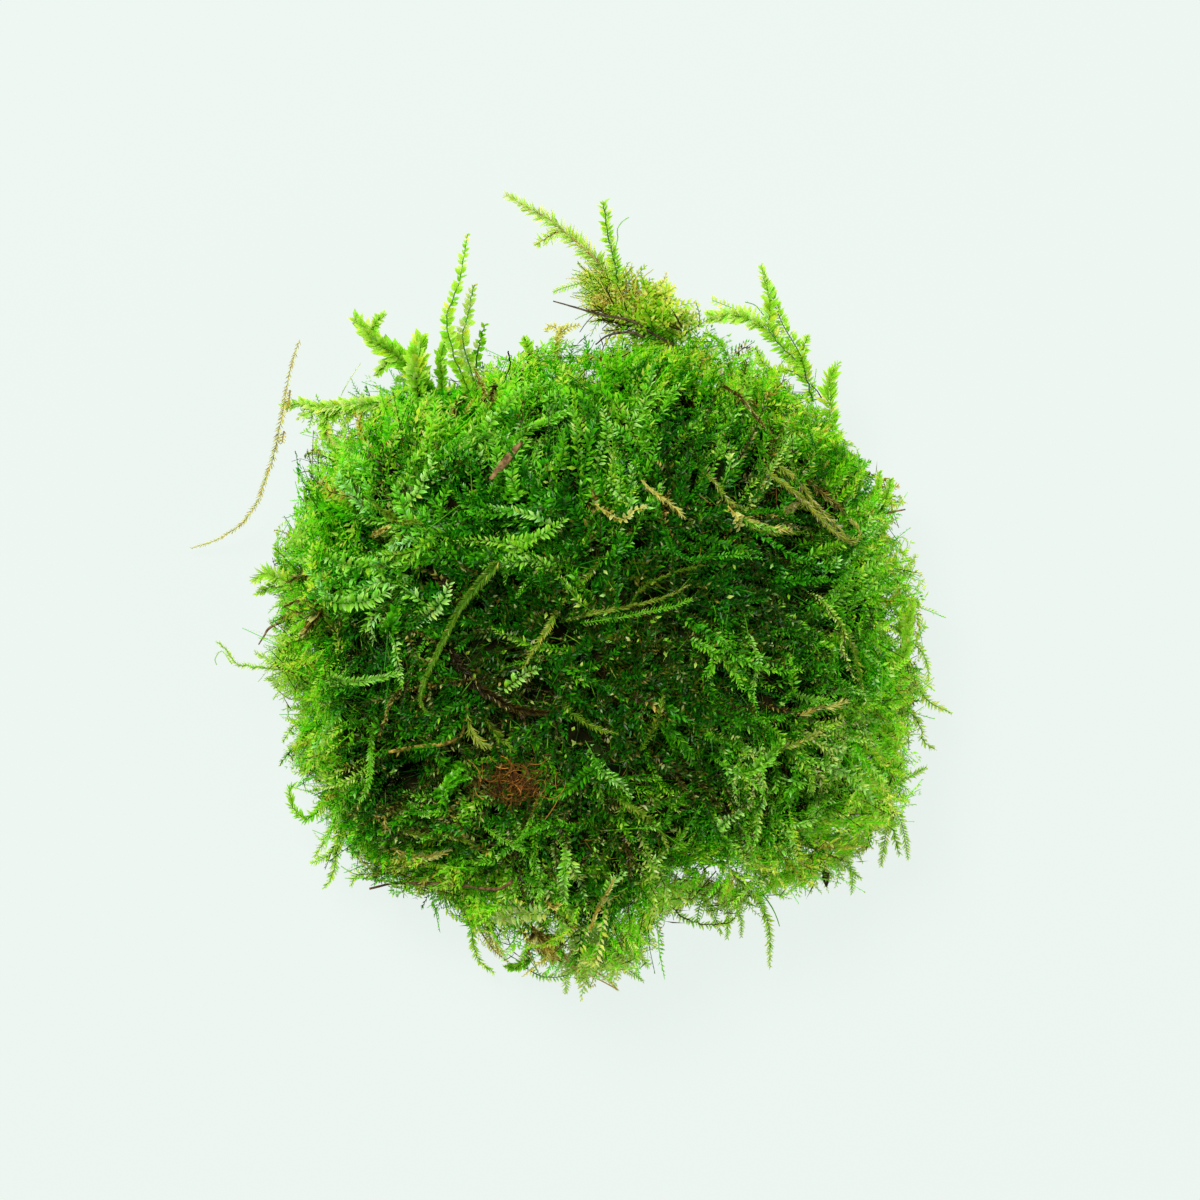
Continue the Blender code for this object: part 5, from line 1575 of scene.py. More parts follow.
named_shoots([
    ("arch_frond", "bright_green", "comb", 0.86, 0.64, (1.1, 1.7, 0.7),
     [(30.6, 35.6, 13), (29.0, 40.2, 16), (25.8, 43.3, 18), (24.1, 45.6, 19),
      (24.3, 48.6, 19.5), (23.6, 52.2, 19), (22.8, 55.2, 18)]),
    ("arch_branch", "pale_green", "lush", 0.92, 0.68, (0.9, 1.5, 1.5),
     [(23.6, 45.4, 19), (22.0, 46.5, 19.5), (19.6, 47.4, 19.5), (17.2, 47.2, 19),
      (14.8, 47.1, 18)]),
    ("arch_side_sprig", "bright_green", "comb", 0.86, 0.66, (0.6, 1.1, 0.6),
     [(28.6, 40.6, 16.5), (29.0, 42.9, 17.5), (29.9, 45.3, 18)]),
    ("inner_arch", "leaf_green", "feather", 0.76, 0.60, (0.9, 0.9, 0.6),
     [(20.0, 36.0, 15), (18.7, 39.9, 18), (17.8, 42.8, 19), (16.0, 44.6, 19), (14.5, 45.0, 18)]),
    ("inner_sprig", "bright_green", "comb", 0.84, 0.50, (0.8, 1.2, 0.7),
     [(25.4, 36.0, 16), (24.2, 39.6, 18), (23.0, 41.4, 18.5), (22.0, 43.6, 18.5)]),
    ("northeast_sprig", "bright_green", "feather", 0.84, 0.70, (1.4, 1.7, 0.7),
     [(33.4, 31.5, 13), (32.6, 36.4, 14.5), (32.9, 39.0, 15), (34.5, 41.6, 15)]),
])

# West shoots. A lacy bough leans out at the upper left, with a dead orange
# shoot against it, and small dull ones stand out of the side below.

named_shoots([
    ("northwest_bough", "leaf_green", "lush", 0.90, 0.66, (1.3, 1.4, 1.0),
     [(-26.5, 33.4, 15), (-30.2, 35.0, 16.5), (-34.7, 34.9, 17), (-38.6, 34.6, 16.5),
      (-42.2, 35.9, 15.5)]),
    ("northwest_bough_fork", "leaf_green", "lush", 0.88, 0.24, (1.0, 1.3, 1.1),
     [(-37.6, 34.4, 16.4), (-37.8, 31.6, 15.5), (-36.0, 28.4, 14.5), (-33.6, 25.6, 14)]),
    ("west_fork_upper", "bright_green", "feather", 0.90, 0.74, (1.2, 1.6, 0.8),
     [(-41.6, 9.0, 13), (-44.6, 10.9, 14), (-46.7, 11.4, 14), (-48.7, 9.7, 13.5)]),
    ("west_fork_lower", "olive_shoot", "feather", 0.86, 0.60, (0.9, 1.2, 0.6),
     [(-41.6, 8.4, 10), (-45.1, 9.6, 11), (-46.9, 9.2, 11), (-48.6, 8.2, 10.5)]),
    ("pale_curved_shoot", "pale_green", "spiky", 0.95, 0.84, (0.5, 0.75, 0.5),
     [(-42.5, -2.2, 12), (-47.5, -1.8, 13), (-50.5, -1.3, 12.5), (-52.3, 0.8, 11.5),
      (-53.9, 2.0, 11)]),
    ("west_low_sprig", "olive_shoot", "spiky", 0.74, 0.30, (0.5, 0.7, 0.4),
     [(-40.0, -12.4, 9), (-42.6, -13.4, 10), (-44.1, -14.7, 9.5), (-45.0, -16.3, 9)]),
    ("hook_shoot", "olive_shoot", "feather", 0.78, 0.30, (0.8, 1.0, 0.9),
     [(-37.4, -19.4, 10), (-39.5, -22.3, 10.5), (-41.2, -23.2, 10.5), (-42.8, -21.5, 10),
      (-43.3, -19.3, 10), (-42.3, -17.8, 10)]),
    ("loose_orange_shoot", "dead_orange", "dry", 0.195, 0.19, (0.4, 0.62, 0.35),
     [(-41.4, 44.1, 17), (-43.0, 38.6, 17.6), (-44.2, 32.2, 15.2), (-46.3, 25.8, 11.4),
      (-48.4, 20.9, 8.0), (-52.8, 17.0, 4.2), (-57.0, 15.3, 2.0), (-59.7, 15.1, 1.2)]),
])

# The bough carries short side leaves that hang to the left and down from it.
bough = host_of(*welded("northwest_bough"), 1)
BOUGH_SPRAYS = [
    (34, (330, 404), (60, 10), (14, 17), (205, 45), -0.05,
     (1.4, 3.2), 0.85, 0.42, (0.84, 0.94), 0.75),
    (22, (350, 412), (30, 10), (13, 16), (250, 40), -0.05,
     (1.6, 3.4), 0.85, 0.42, (0.84, 0.94), 0.75),
    (12, (366, 402), (30, 5), (15, 18), (183, 14), 0.0,
     (2.6, 4.6), 0.60, 0.20, (0.62, 0.76), 0.60),
]
make_piece(
    "bough_sprays", sprayed(bough, BOUGH_SPRAYS, shoot_chance), lit_leaf, "leaf_green",
    "northwest_bough",
)

# South shoots. Thin ones hang out of the lower edge, lit through from below.

named_shoots([
    ("southwest_sprig", "bright_green", "feather", 0.88, 0.76, (1.0, 1.0, 0.5),
     [(-35.6, -22.0, 9), (-36.6, -27.5, 9.5), (-37.2, -30.8, 8.5), (-38.8, -33.6, 7)]),
    ("southwest_side_sprig", "yellow_green", "feather", 0.90, 0.80, (0.6, 0.85, 0.5),
     [(-36.0, -22.5, 13), (-38.7, -27.0, 12.5), (-39.9, -29.0, 12)]),
    ("south_hanging_sprig", "bright_green", "feather", 0.86, 0.70, (0.8, 0.9, 0.6),
     [(-17.6, -34.0, 7), (-17.6, -39.4, 6.5), (-16.9, -43.2, 5), (-14.3, -46.0, 3)]),
    ("south_yellow_sprig", "dead_orange", "spiky", 0.195, 0.18, (0.8, 1.1, 0.8),
     [(-15.6, -35.5, 10), (-15.0, -39.8, 10.5), (-12.6, -42.9, 9.5)]),
    ("south_tip_sprig", "pale_green", "feather", 0.96, 0.88, (1.0, 1.2, 0.7),
     [(4.0, -38.0, 10), (5.6, -42.0, 10), (7.8, -44.4, 9)]),
    ("fringe_stem", "yellow_green", "comb", 0.88, 0.29, (0.6, 0.9, 0.6),
     [(9.4, -33.0, 7), (11.4, -36.6, 8), (14.6, -38.1, 8), (18.2, -38.2, 8), (21.2, -36.8, 8)]),
    ("hanging_shoot", "bright_green", "feather", 0.91, 0.74, (0.9, 0.95, 0.5),
     [(18.6, -30.4, 13), (22.4, -33.9, 13), (24.0, -37.0, 11.5), (24.7, -41.0, 8.5),
      (24.9, -45.2, 5)]),
    ("southeast_sprig", "leaf_green", "feather", 0.84, 0.66, (0.7, 0.9, 0.5),
     [(30.5, -26.6, 9), (34.2, -29.4, 9.5), (36.4, -30.8, 9), (38.2, -32.3, 8)]),
    ("southeast_tip", "bright_green", "feather", 0.88, 0.78, (0.9, 0.9, 0.5),
     [(41.0, -21.8, 11), (42.3, -26.0, 11), (43.1, -28.9, 10)]),
])

# East shoots. Bright ones stand and droop along the right side.

named_shoots([
    ("bright_east_shoot", "bright_green", "lush", 0.84, 0.72, (1.1, 1.2, 0.9),
     [(40.2, -4.6, 15.5), (43.2, 0.6, 18), (43.6, 4.6, 18.5), (44.4, 8.6, 18.5)]),
    ("east_hanging_arc", "pale_green", "comb", 0.95, 0.84, (0.5, 0.9, 0.6),
     [(41.6, 4.2, 13), (45.2, 1.2, 14.5), (46.7, -1.6, 14), (46.9, -4.6, 13)]),
    ("east_lower_shoot", "bright_green", "comb", 0.94, 0.82, (1.0, 1.1, 0.5),
     [(40.6, -1.4, 10), (45.2, -4.6, 10.5), (47.4, -6.8, 10), (50.9, -8.6, 8.5)]),
    ("east_drooping_sprig", "yellow_green", "feather", 0.93, 0.40, (0.7, 0.9, 0.5),
     [(41.4, -6.0, 12), (45.1, -9.0, 13), (46.3, -12.3, 12), (48.2, -13.5, 11)]),
    ("east_low_sprig", "pale_green", "feather", 0.90, 0.80, (0.6, 0.8, 0.5),
     [(42.4, -18.4, 9), (45.4, -16.9, 9), (47.3, -15.9, 8.5)]),
    ("east_upper_sprig", "bright_green", "lush", 0.84, 0.72, (0.9, 0.9, 0.6),
     [(37.0, 19.4, 17), (39.2, 22.6, 18), (39.7, 26.1, 18)]),
])

# Strays. Hairs, curls and short side strands cling to the shoots and the rim,
# each by its route in the photo and its height above the table in mm.

STRAYS = [
    ("comb", 0.86, 0.64, (0.9, 1.3, 0.5), (17, 19),
     [(806, 374), (801, 357), (795, 345), (783, 325), (777, 310), (770, 290), (764, 272)]),
    ("hair", 0.98, 0.98, (0.3, 0.3, 0.3), (17, 19), [(341, 396), (347, 384), (361, 363)]),
    ("bare", 0.70, 0.70, (0.3, 0.3, 0.3), (19, 18),
     [(776, 340), (769, 323), (761, 312), (755, 305), (745, 302)]),
    ("fern", 0.95, 0.70, (0.8, 1.2, 0.9), (19, 19),
     [(768, 330), (755, 316), (735, 309), (712, 300)]),
    ("comb", 0.86, 0.64, (0.5, 0.9, 0.5), (16, 16), [(802, 378), (790, 371), (770, 372)]),
    ("bare", 0.06, 0.05, (0.3, 0.3, 0.3), (14, 15), [(824, 404), (818, 392), (811, 385)]),
    ("lush", 0.86, 0.74, (0.6, 0.9, 0.6), (15, 17), [(880, 514), (887, 496), (891, 479)]),
    ("bare", 0.93, 0.93, (0.3, 0.3, 0.3), (12, 12),
     [(890, 555), (896, 540), (903, 537), (908, 543), (905, 551), (898, 552), (895, 546)]),
    ("spiky", 0.96, 0.90, (0.5, 0.9, 0.6), (11, 12), [(896, 592), (905, 574), (916, 555)]),
    ("bare", 0.90, 0.90, (0.3, 0.3, 0.3), (9, 9), [(893, 739), (907, 735), (920, 734)]),
    ("feather", 0.86, 0.30, (0.4, 0.7, 0.4), (9, 8), [(299, 720), (289, 732), (283, 742)]),
    ("feather", 0.92, 0.84, (0.5, 0.9, 0.6), (10, 9), [(287, 670), (270, 660), (256, 653)]),
    ("feather", 0.92, 0.84, (0.5, 0.9, 0.6), (9, 9), [(292, 694), (280, 685), (268, 679)]),
    ("bare", 0.10, 0.10, (0.3, 0.3, 0.3), (10, 9),
     [(306, 701), (297, 699), (290, 699), (282, 694), (275, 686)]),
    ("bare", 0.92, 0.92, (0.3, 0.3, 0.3), (12, 11),
     [(232, 664), (222, 651), (215, 659), (217, 665)]),
    ("feather", 0.88, 0.80, (0.5, 0.9, 0.5), (8, 6),
     [(394, 868), (376, 873), (365, 873), (355, 877), (351, 886)]),
    ("bare", 0.92, 0.92, (0.3, 0.3, 0.3), (8, 6), [(396, 869), (388, 871), (388, 879), (384, 885)]),
    ("bare", 0.92, 0.90, (0.3, 0.3, 0.3), (7, 7), [(360, 876), (350, 872), (341, 866)]),
    ("feather", 0.88, 0.82, (0.4, 0.7, 0.4), (9, 7), [(368, 844), (359, 852), (352, 859)]),
    ("feather", 0.88, 0.82, (0.5, 0.9, 0.5), (8, 6), [(340, 846), (324, 858), (312, 863)]),
    ("scaly", 0.13, 0.11, (0.5, 0.8, 0.5), (12, 9), [(538, 932), (545, 942), (552, 956)]),
    ("bare", 0.12, 0.12, (0.3, 0.3, 0.3), (9, 6), [(530, 926), (538, 945), (547, 958)]),
    ("lush", 0.80, 0.60, (0.7, 1.0, 0.8), (7, 5), [(532, 957), (518, 966), (507, 967)]),
    ("comb", 0.86, 0.66, (0.5, 0.9, 0.5), (7, 5), [(526, 968), (541, 976), (559, 977), (576, 972)]),
    ("feather", 0.88, 0.78, (0.4, 0.8, 0.4), (6, 4), [(568, 966), (581, 975), (591, 987)]),
    ("feather", 0.93, 0.90, (0.4, 0.8, 0.5), (5, 3), [(566, 970), (566, 982), (566, 993)]),
    ("feather", 0.88, 0.82, (0.5, 0.8, 0.4), (6, 4), [(610, 953), (622, 965), (643, 981)]),
    ("feather", 0.90, 0.84, (0.4, 0.7, 0.4), (7, 6), [(638, 943), (636, 955), (632, 968)]),
    ("feather", 0.88, 0.80, (0.5, 0.9, 0.5), (10, 7),
     [(698, 880), (704, 900), (714, 915), (721, 934)]),
    ("feather", 0.86, 0.80, (0.5, 0.9, 0.5), (10, 7),
     [(716, 878), (722, 898), (728, 912), (727, 938)]),
    ("feather", 0.88, 0.80, (0.4, 0.8, 0.4), (10, 7),
     [(728, 884), (736, 905), (741, 920), (741, 937)]),
    ("comb", 0.86, 0.74, (0.5, 0.9, 0.5), (11, 8),
     [(748, 884), (735, 898), (722, 908), (706, 911)]),
    ("comb", 0.86, 0.74, (0.5, 0.9, 0.5), (11, 8), [(702, 888), (692, 899), (682, 906)]),
    ("comb", 0.86, 0.74, (0.5, 0.9, 0.5), (11, 8), [(708, 884), (700, 905), (697, 922)]),
    ("bare", 0.17, 0.16, (0.3, 0.3, 0.3), (12, 10), [(708, 880), (722, 884), (736, 883)]),
    ("bare", 0.16, 0.15, (0.3, 0.3, 0.3), (12, 10), [(744, 873), (762, 880), (778, 886)]),
    ("bare", 0.78, 0.78, (0.3, 0.3, 0.3), (11, 9), [(748, 870), (760, 864), (774, 862)]),
    ("feather", 0.88, 0.82, (0.4, 0.8, 0.4), (10, 7), [(806, 858), (812, 872), (817, 884)]),
    ("feather", 0.88, 0.82, (0.4, 0.8, 0.4), (10, 7), [(846, 854), (852, 872), (852, 893)]),
    ("bare", 0.20, 0.20, (0.3, 0.3, 0.3), (11, 10), [(856, 832), (866, 840), (873, 849)]),
    ("feather", 0.92, 0.86, (0.5, 0.9, 0.5), (10, 8), [(888, 822), (884, 845), (881, 866)]),
    ("feather", 0.88, 0.82, (0.5, 0.9, 0.5), (9, 7), [(888, 798), (902, 825), (908, 858)]),
    ("bare", 0.80, 0.82, (0.3, 0.3, 0.3), (23, 24),
     [(612, 262), (615, 249), (618, 237), (617, 230), (622, 222), (629, 217)]),
    ("comb", 0.66, 0.05, (0.4, 0.7, 0.5), (19, 18),
     [(622, 354), (600, 358), (580, 358), (560, 357)]),
    ("comb", 0.97, 0.88, (0.8, 1.4, 1.0), (11, 7),
     [(566, 918), (580, 936), (594, 952), (612, 968)]),
    ("comb", 0.97, 0.88, (0.8, 1.3, 0.9), (10, 6), [(572, 930), (578, 950), (590, 968)]),
    ("comb", 0.97, 0.88, (0.8, 1.4, 1.0), (11, 7), [(584, 926), (604, 940), (626, 950)]),
    ("comb", 0.98, 0.92, (0.7, 1.3, 0.9), (9, 6), [(600, 952), (612, 960), (628, 966)]),
    ("comb", 0.88, 0.80, (0.6, 1.0, 0.7), (9, 7), [(556, 912), (560, 930), (562, 948)]),
    ("feather", 0.92, 0.86, (0.4, 0.7, 0.4), (18, 19), [(584, 282), (567, 287), (553, 292)]),
]
# Dead strays are straw and orange.
DEAD_STRAYS = [
    ("comb", 0.195, 0.19, (0.5, 0.9, 0.5), (15, 17),
     [(556, 350), (560, 336), (567, 328), (580, 325)]),
    ("comb", 0.195, 0.19, (0.5, 0.8, 0.5), (16, 17),
     [(562, 334), (556, 328), (549, 326), (546, 332)]),
    ("spiky", 0.185, 0.17, (0.4, 0.55, 0.35), (17, 17), [(290, 390), (289, 401), (287, 412)]),
    ("spiky", 0.19, 0.17, (0.5, 0.75, 0.4), (16, 16), [(284, 431), (283, 437), (282, 443)]),
    ("wisp", 0.185, 0.17, (0.2, 0.4, 0.2), (5, 3),
     [(588, 968), (600, 974), (610, 982), (618, 990)]),
    ("spiky", 0.19, 0.17, (0.4, 0.7, 0.4), (10, 9),
     [(480, 930), (487, 941), (496, 952), (508, 962)]),
    ("scaly", 0.17, 0.15, (0.3, 0.5, 0.3), (11, 8),
     [(533, 928), (545, 940), (556, 952), (566, 958)]),
    ("spiky", 0.18, 0.16, (0.5, 0.8, 0.5), (14, 14), [(880, 486), (889, 488), (899, 486)]),
    ("wisp", 0.17, 0.15, (0.4, 0.6, 0.3), (12, 11), [(870, 836), (866, 846), (858, 852)]),
]


def stray_parts(rows, chance):
    """Strands by their photo places and heights, as long_shoots but with their
    own heights instead of the turf's, evenly from root to tip."""
    parts = []
    for kind, shade, stem_shade, reach, (low, high), route in rows:
        heights = np.linspace(low, high, len(route)) * MM
        path = smooth_path(table_places(np.array(route, dtype=float), heights), SHOOT_STEPS // 2)
        extra = SHOOT_KINDS[kind][3]
        for turn in range(extra + 1):
            up = unit(UPWARD + chance.normal(0, 0.4, 3) * (turn > 0))
            parts += grown_shoot(
                path, up, kind, reach, shade, stem_shade, chance, "keeled", thick=0.8
            )
    return parts


make_piece("strays", stray_parts(STRAYS, shoot_chance), lit_leaf, "pale_green", "moss_cushion")
make_piece(
    "dead_strays", stray_parts(DEAD_STRAYS, shoot_chance), dead_leaf, "dead_orange", "moss_cushion"
)

# Litter. Bits of wood, bark and old stems lie in the turf: rough dark twigs,
# a flake of bark, a rolled leaf, and ropes of dead shoots with their scales on.

ROD_SIDES = 8
KNOTS = 0.09
ROPE_LOOSE = 0.6
LITTER_SEED = 61


def rod(path, radii, flat, knots, chance):
    """A closed rod along a path: each ring is the path's point plus the radius
    there, made rough by chance, on the left way and, flattened, on the up way."""
    steps = len(path) - 1
    ups = np.broadcast_to(UPWARD, path[None].shape)
    _, up, left = path_frames(path[None], ups)
    turn = np.arange(ROD_SIDES) * 2 * math.pi / ROD_SIDES
    radius = np.interp(np.linspace(0, 1, steps + 1), np.linspace(0, 1, len(radii)), radii) * MM
    rough = chance.normal(0, 1, (steps + 1, ROD_SIDES))
    rough = 1 + knots * (rough + np.roll(rough, 1, axis=1)) * 0.6
    ring = (
        left[0][:, None] * np.cos(turn)[:, None] + flat * up[0][:, None] * np.sin(turn)[:, None]
    ) * (radius[:, None] * rough)[..., None]
    points = np.concatenate([(path[:, None] + ring).reshape(-1, 3), path[:1], path[-1:]])
    low = (np.arange(steps) * ROD_SIDES)[:, None]
    here = low + np.arange(ROD_SIDES)
    beside = low + (np.arange(ROD_SIDES) + 1) % ROD_SIDES
    around = np.arange(ROD_SIDES)
    after = (around + 1) % ROD_SIDES
    root, tip = np.full(ROD_SIDES, len(points) - 2), np.full(ROD_SIDES, len(points) - 1)
    last = steps * ROD_SIDES
    triangles = np.concatenate([
        np.stack([here, beside, here + ROD_SIDES], -1).reshape(-1, 3),
        np.stack([beside, beside + ROD_SIDES, here + ROD_SIDES], -1).reshape(-1, 3),
        np.stack([after, around, root], -1),
        np.stack([around + last, after + last, tip], -1),
    ])
    return points, triangles, None


def bark_material(name, dark, light, grain, lift):
    """Old bark: patches from dark to light, cracked by a noise three times as
    fine."""
    return matted_material(
        name, 0.7, 0.1, {"Scale": grain, "Detail": 6, "Roughness": 0.65},
        [(0.38, dark), (0.66, light)], {"Scale": grain * 3, "Detail": 3}, lift,
    )


def laid(route, lifts):
    """A route in plan, in mm, on the turf as the solids are: at its height plus
    the lift there in mm. Points that give their own height keep it."""
    points = np.array([(*place[:2], 0) for place in route]) * MM
    heights = turf_height(points[:, :2]) + np.linspace(*lifts, len(route)) * MM
    own = np.array([place[2] * MM if len(place) > 2 else -1 for place in route])
    points[:, 2] = np.where(own > 0, own, heights)
    return smooth_path(points, SHOOT_STEPS)


dark_bark = bark_material("dark_bark", (0.012, 0.009, 0.004), (0.085, 0.064, 0.028), 1400, 0.0002)
red_bark = bark_material("red_bark", (0.040, 0.021, 0.007), (0.190, 0.112, 0.045), 1100, 0.0002)
tan_stem = bark_material("tan_stem", (0.100, 0.068, 0.008), (0.330, 0.245, 0.040), 1300, 0.0001)
pale_stem = bark_material("pale_stem", (0.260, 0.150, 0.030), (0.600, 0.420, 0.130), 1300, 0.0001)
flake_bark = bark_material("flake_bark", (0.055, 0.030, 0.010), (0.250, 0.155, 0.060), 900, 0.0002)
litter_chance = np.random.default_rng(LITTER_SEED)

WOOD = [
    ("crest_twig", dark_bark, "dark_twig", (0.14, 0.20, 0.17, 0.09), 1.0,
     [(11.5, 43.0, 18.6), (8.1, 44.6, 20.6), (4.9, 46.4, 22.4), (0.6, 47.3, 22.6),
      (-5.9, 49.2, 21.5)], (0, 0)),
    ("crest_twig_fork", dark_bark, "dark_twig", (0.20, 0.17, 0.10), 1.0,
     [(6.6, 44.2, 22.8), (4.5, 44.8, 22.8), (1.7, 44.4, 22.0), (0.0, 43.2, 21.0)], (0, 0)),
    ("west_stub", red_bark, "red_brown", (0.24, 0.20, 0.10), 1.0,
     [(-42.5, 5.4, 9), (-45.9, 3.9, 10.5), (-46.9, 2.6, 10.5), (-47.7, 1.4, 10)], (0, 0)),
    ("bark_flake", flake_bark, "red_brown", (0.25, 0.50, 0.54, 0.46, 0.22), 0.5,
     [(-14.2, 24.0), (-12.1, 26.6), (-10.0, 29.2)], (2.3, 2.3)),
    ("dark_leaf", dark_bark, "dark_twig", (0.10, 0.55, 0.48, 0.12), 0.45,
     [(32.3, -29.7, 13.0), (32.4, -31.2, 13.1), (32.5, -32.7, 12.9)], (0, 0)),
    ("orange_stem", tan_stem, "dead_orange", (0.24, 0.30, 0.26, 0.16), 0.85,
     [(-28.3, -13.1), (-24.2, -12.3), (-20.6, -11.8), (-18.3, -10.7), (-17.7, -8.6),
      (-17.3, -6.3)], (0.7, 0.7)),
    ("wiry_stem", red_bark, "red_brown", (0.24, 0.22, 0.16), 1.0,
     [(-11.4, -30.6), (-13.6, -31.9), (-19.9, -31.7), (-25.1, -31.6), (-28.6, -32.2, 13.5),
      (-31.9, -33.0, 12.5)], (0.5, 0.5)),
    ("south_stem", pale_stem, "red_brown", (0.13, 0.11, 0.07), 1.0,
     [(-5.4, -40.6, 12), (-3.2, -44.0, 12.5), (0.4, -45.8, 12), (3.0, -47.3, 11)], (0, 0)),
    ("east_twig", red_bark, "dark_twig", (0.20, 0.17, 0.10), 1.0,
     [(36.6, 19.0, 15), (40.3, 19.8, 16), (43.4, 20.4, 16)], (0, 0)),
]
for node, material, slot, radii, flat, route, lifts in WOOD:
    wood = rod(laid(route, lifts), radii, flat, KNOTS, litter_chance)
    make_piece(node + "_bark", [wood], material, slot, node)

# Ropes: node, material, slot, kind, shade, stem shade, half widths, lift and
# route in mm.
ROPES = [
    ("old_shoot", old_leaf, "olive_shoot", "shaggy", 0.68, 0.62, (0.8, 0.55, 0.26), 1.3,
     [(-12.9, 13.0), (-17.9, 7.2), (-20.6, 2.2), (-23.2, -3.3), (-23.7, -6.3), (-21.5, -9.0)]),
    ("decayed_stem", moss_leaf, "dark_twig", "shaggy", 0.040, 0.03, (0.7, 0.8, 0.5), 0.8,
     [(-19.8, 1.2), (-16.8, -3.4), (-10.9, -7.0), (-6.3, -7.6)]),
    ("looped_shoot", old_leaf, "dead_orange", "wisp", 0.86, 0.82, (0.4, 0.5, 0.35), 1.7,
     [(23.6, 25.0), (28.3, 21.4), (32.8, 16.9), (35.3, 15.7), (36.4, 16.8), (35.3, 18.5)]),
    ("pinnate_frond", lit_leaf, "bright_green", "paddle", 0.985, 0.84, (1.2, 1.7, 1.1), 3.4,
     [(-6.8, -34.8), (-9.8, -35.0), (-14.0, -36.2)]),
]
for node, material, slot, kind, shade, stem_shade, reach, lift, route in ROPES:
    path = laid(route, (lift, lift))
    _, normals = nearest_patch(cushion, path)
    extra = SHOOT_KINDS[kind][3]
    parts = []
    for turn in range(2 * extra + 1):
        tilted = unit(normals + litter_chance.normal(0, 0.6, 3) * (turn > 0))
        parts += grown_shoot(
            path, tilted, kind, reach, shade, stem_shade, litter_chance, "ovate", ROPE_LOOSE
        )
    make_piece(node + "_leaves", parts, material, slot, node)

# The tangle is a pad of red-brown root hairs, each curled by its own bend.
TANGLE_MIDDLE = (-10.9, -17.2)
TANGLE_REACH = (5.6, 3.0)
TANGLE_HAIRS = 200
HAIR_LENGTHS = (0.0012, 0.0056)
HAIR_RADII = (0.00003, 0.00009)
HAIR_SHADES = (0.03, 0.165)
HAIR_CURL = 0.17
spot = litter_chance.normal(0, 0.45, (TANGLE_HAIRS, 2)).clip(-1, 1) * TANGLE_REACH
plan = (spot + TANGLE_MIDDLE) * MM
middles = np.column_stack([plan, turf_height(plan)])
turn = litter_chance.uniform(0, 2 * math.pi, TANGLE_HAIRS)
heading = np.column_stack([np.cos(turn), np.sin(turn), np.zeros(TANGLE_HAIRS)])
share = np.linspace(0, 1, CREEP_STEPS + 1)
heights = (
    litter_chance.uniform(0.0, 1.3, (TANGLE_HAIRS, 1))
    + litter_chance.normal(0, 1.0, (TANGLE_HAIRS, 1)) * (share - 0.5)
).clip(-0.4, 2.0) * MM
paths, ups = crept(
    cushion, middles, heading, litter_chance.uniform(*HAIR_LENGTHS, TANGLE_HAIRS), heights,
    litter_chance.normal(0, HAIR_CURL, TANGLE_HAIRS), level,
)
thick = litter_chance.uniform(*HAIR_RADII, TANGLE_HAIRS)
root_hair = leaf_material("root_hair", 0.45, 0.25, 1.0, (1.45, 0.78, 0.8))
make_piece(
    "rhizoid_hairs",
    [stems(paths, ups, thick, thick * 0.5, litter_chance.uniform(*HAIR_SHADES, TANGLE_HAIRS))],
    root_hair,
    "red_brown",
    "rhizoid_tangle",
)

# Loose edge. Fine sprays stick out of the rim where the clump was pulled apart,
# thickest at the left, at the lower right and along the bottom.

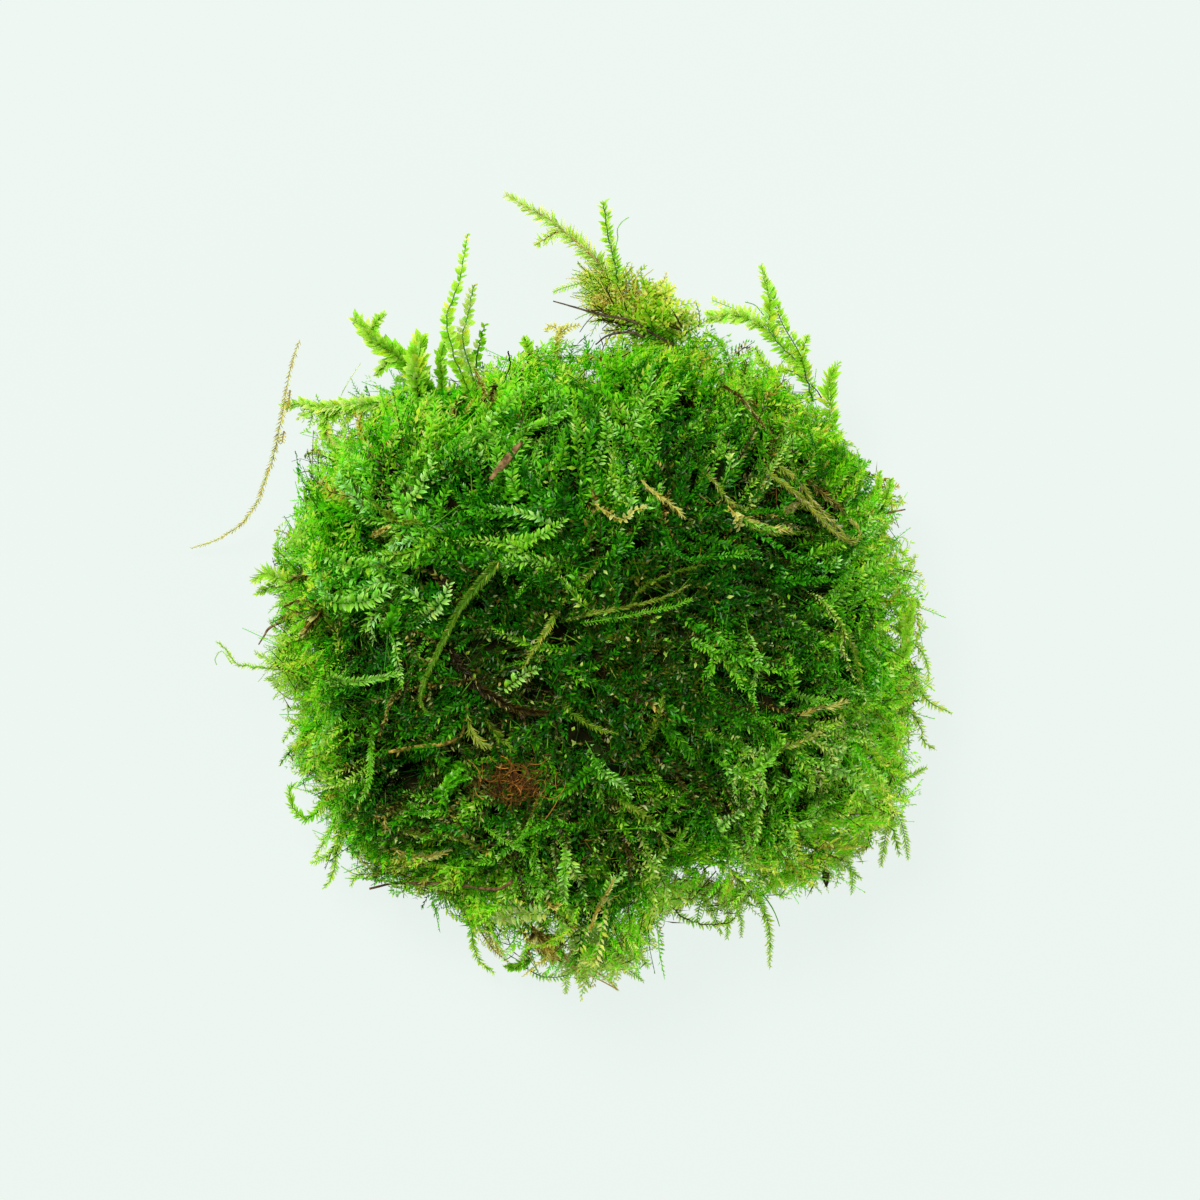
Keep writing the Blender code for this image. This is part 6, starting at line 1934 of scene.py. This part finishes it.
EDGE_SPRAYS = [
    (120, (294, 680), (12, 100), (5, 14), (180, 60), 0.0,
     (1.8, 3.8), 0.80, 0.30, (0.80, 0.95), 0.80),
    (60, (278, 662), (16, 24), (7, 12), (185, 36), 0.0,
     (3.0, 5.6), 0.80, 0.24, (0.86, 0.97), 0.86),
    (40, (274, 582), (14, 22), (9, 14), (192, 34), 0.0,
     (2.6, 4.8), 0.80, 0.26, (0.84, 0.95), 0.80),
    (64, (716, 900), (44, 24), (5, 11), (-85, 80), -0.10,
     (2.0, 4.6), 0.80, 0.32, (0.95, 1.0), 0.92),
    (16, (722, 905), (40, 24), (5, 10), (-60, 80), -0.10,
     (3.0, 5.5), 0.0, 0.10, (0.2, 0.3), 0.80),
    (40, (592, 942), (34, 14), (6, 11), (-66, 44), 0.0,
     (3.4, 6.4), 1.25, 0.40, (0.96, 1.0), 0.92),
    (30, (830, 850), (60, 30), (6, 11), (-55, 50), 0.0,
     (2.6, 5.0), 1.00, 0.34, (0.90, 0.99), 0.88),
    (30, (900, 760), (10, 60), (7, 13), (-20, 50), 0.0,
     (2.4, 4.6), 1.00, 0.34, (0.84, 0.95), 0.82),
    (16, (540, 938), (16, 12), (9, 13), (-75, 50), -0.05,
     (1.8, 3.4), 0.80, 0.34, (0.10, 0.16), 0.12),
    (70, (588, 960), (60, 16), (4, 10), (-85, 65), -0.05,
     (1.6, 3.6), 0.95, 0.38, (0.94, 1.0), 0.92),
    (20, (632, 955), (30, 18), (5, 10), (-60, 60), -0.05,
     (1.6, 3.4), 0.85, 0.34, (0.95, 1.0), 0.92),
    (100, (900, 690), (14, 190), (6, 16), (0, 60), 0.05,
     (1.6, 3.4), 0.85, 0.34, (0.84, 0.96), 0.82),
    (40, (878, 500), (16, 80), (9, 17), (20, 55), 0.10,
     (1.4, 3.2), 0.80, 0.38, (0.76, 0.92), 0.74),
    (50, (850, 440), (40, 70), (10, 18), (40, 50), 0.10,
     (1.6, 3.4), 0.80, 0.38, (0.74, 0.90), 0.74),
    (60, (356, 846), (80, 60), (5, 12), (225, 55), -0.05,
     (1.4, 3.2), 0.75, 0.32, (0.78, 0.94), 0.78),
    (60, (848, 846), (80, 60), (5, 12), (-45, 60), -0.05,
     (1.6, 3.4), 0.85, 0.34, (0.89, 0.99), 0.86),
    (40, (460, 905), (80, 26), (5, 11), (-110, 50), -0.05,
     (1.4, 3.4), 0.75, 0.32, (0.78, 0.94), 0.78),
]
make_piece(
    "edge_sprays", sprayed(cushion, EDGE_SPRAYS, shoot_chance), lit_leaf, "pale_green",
    "moss_cushion",
)
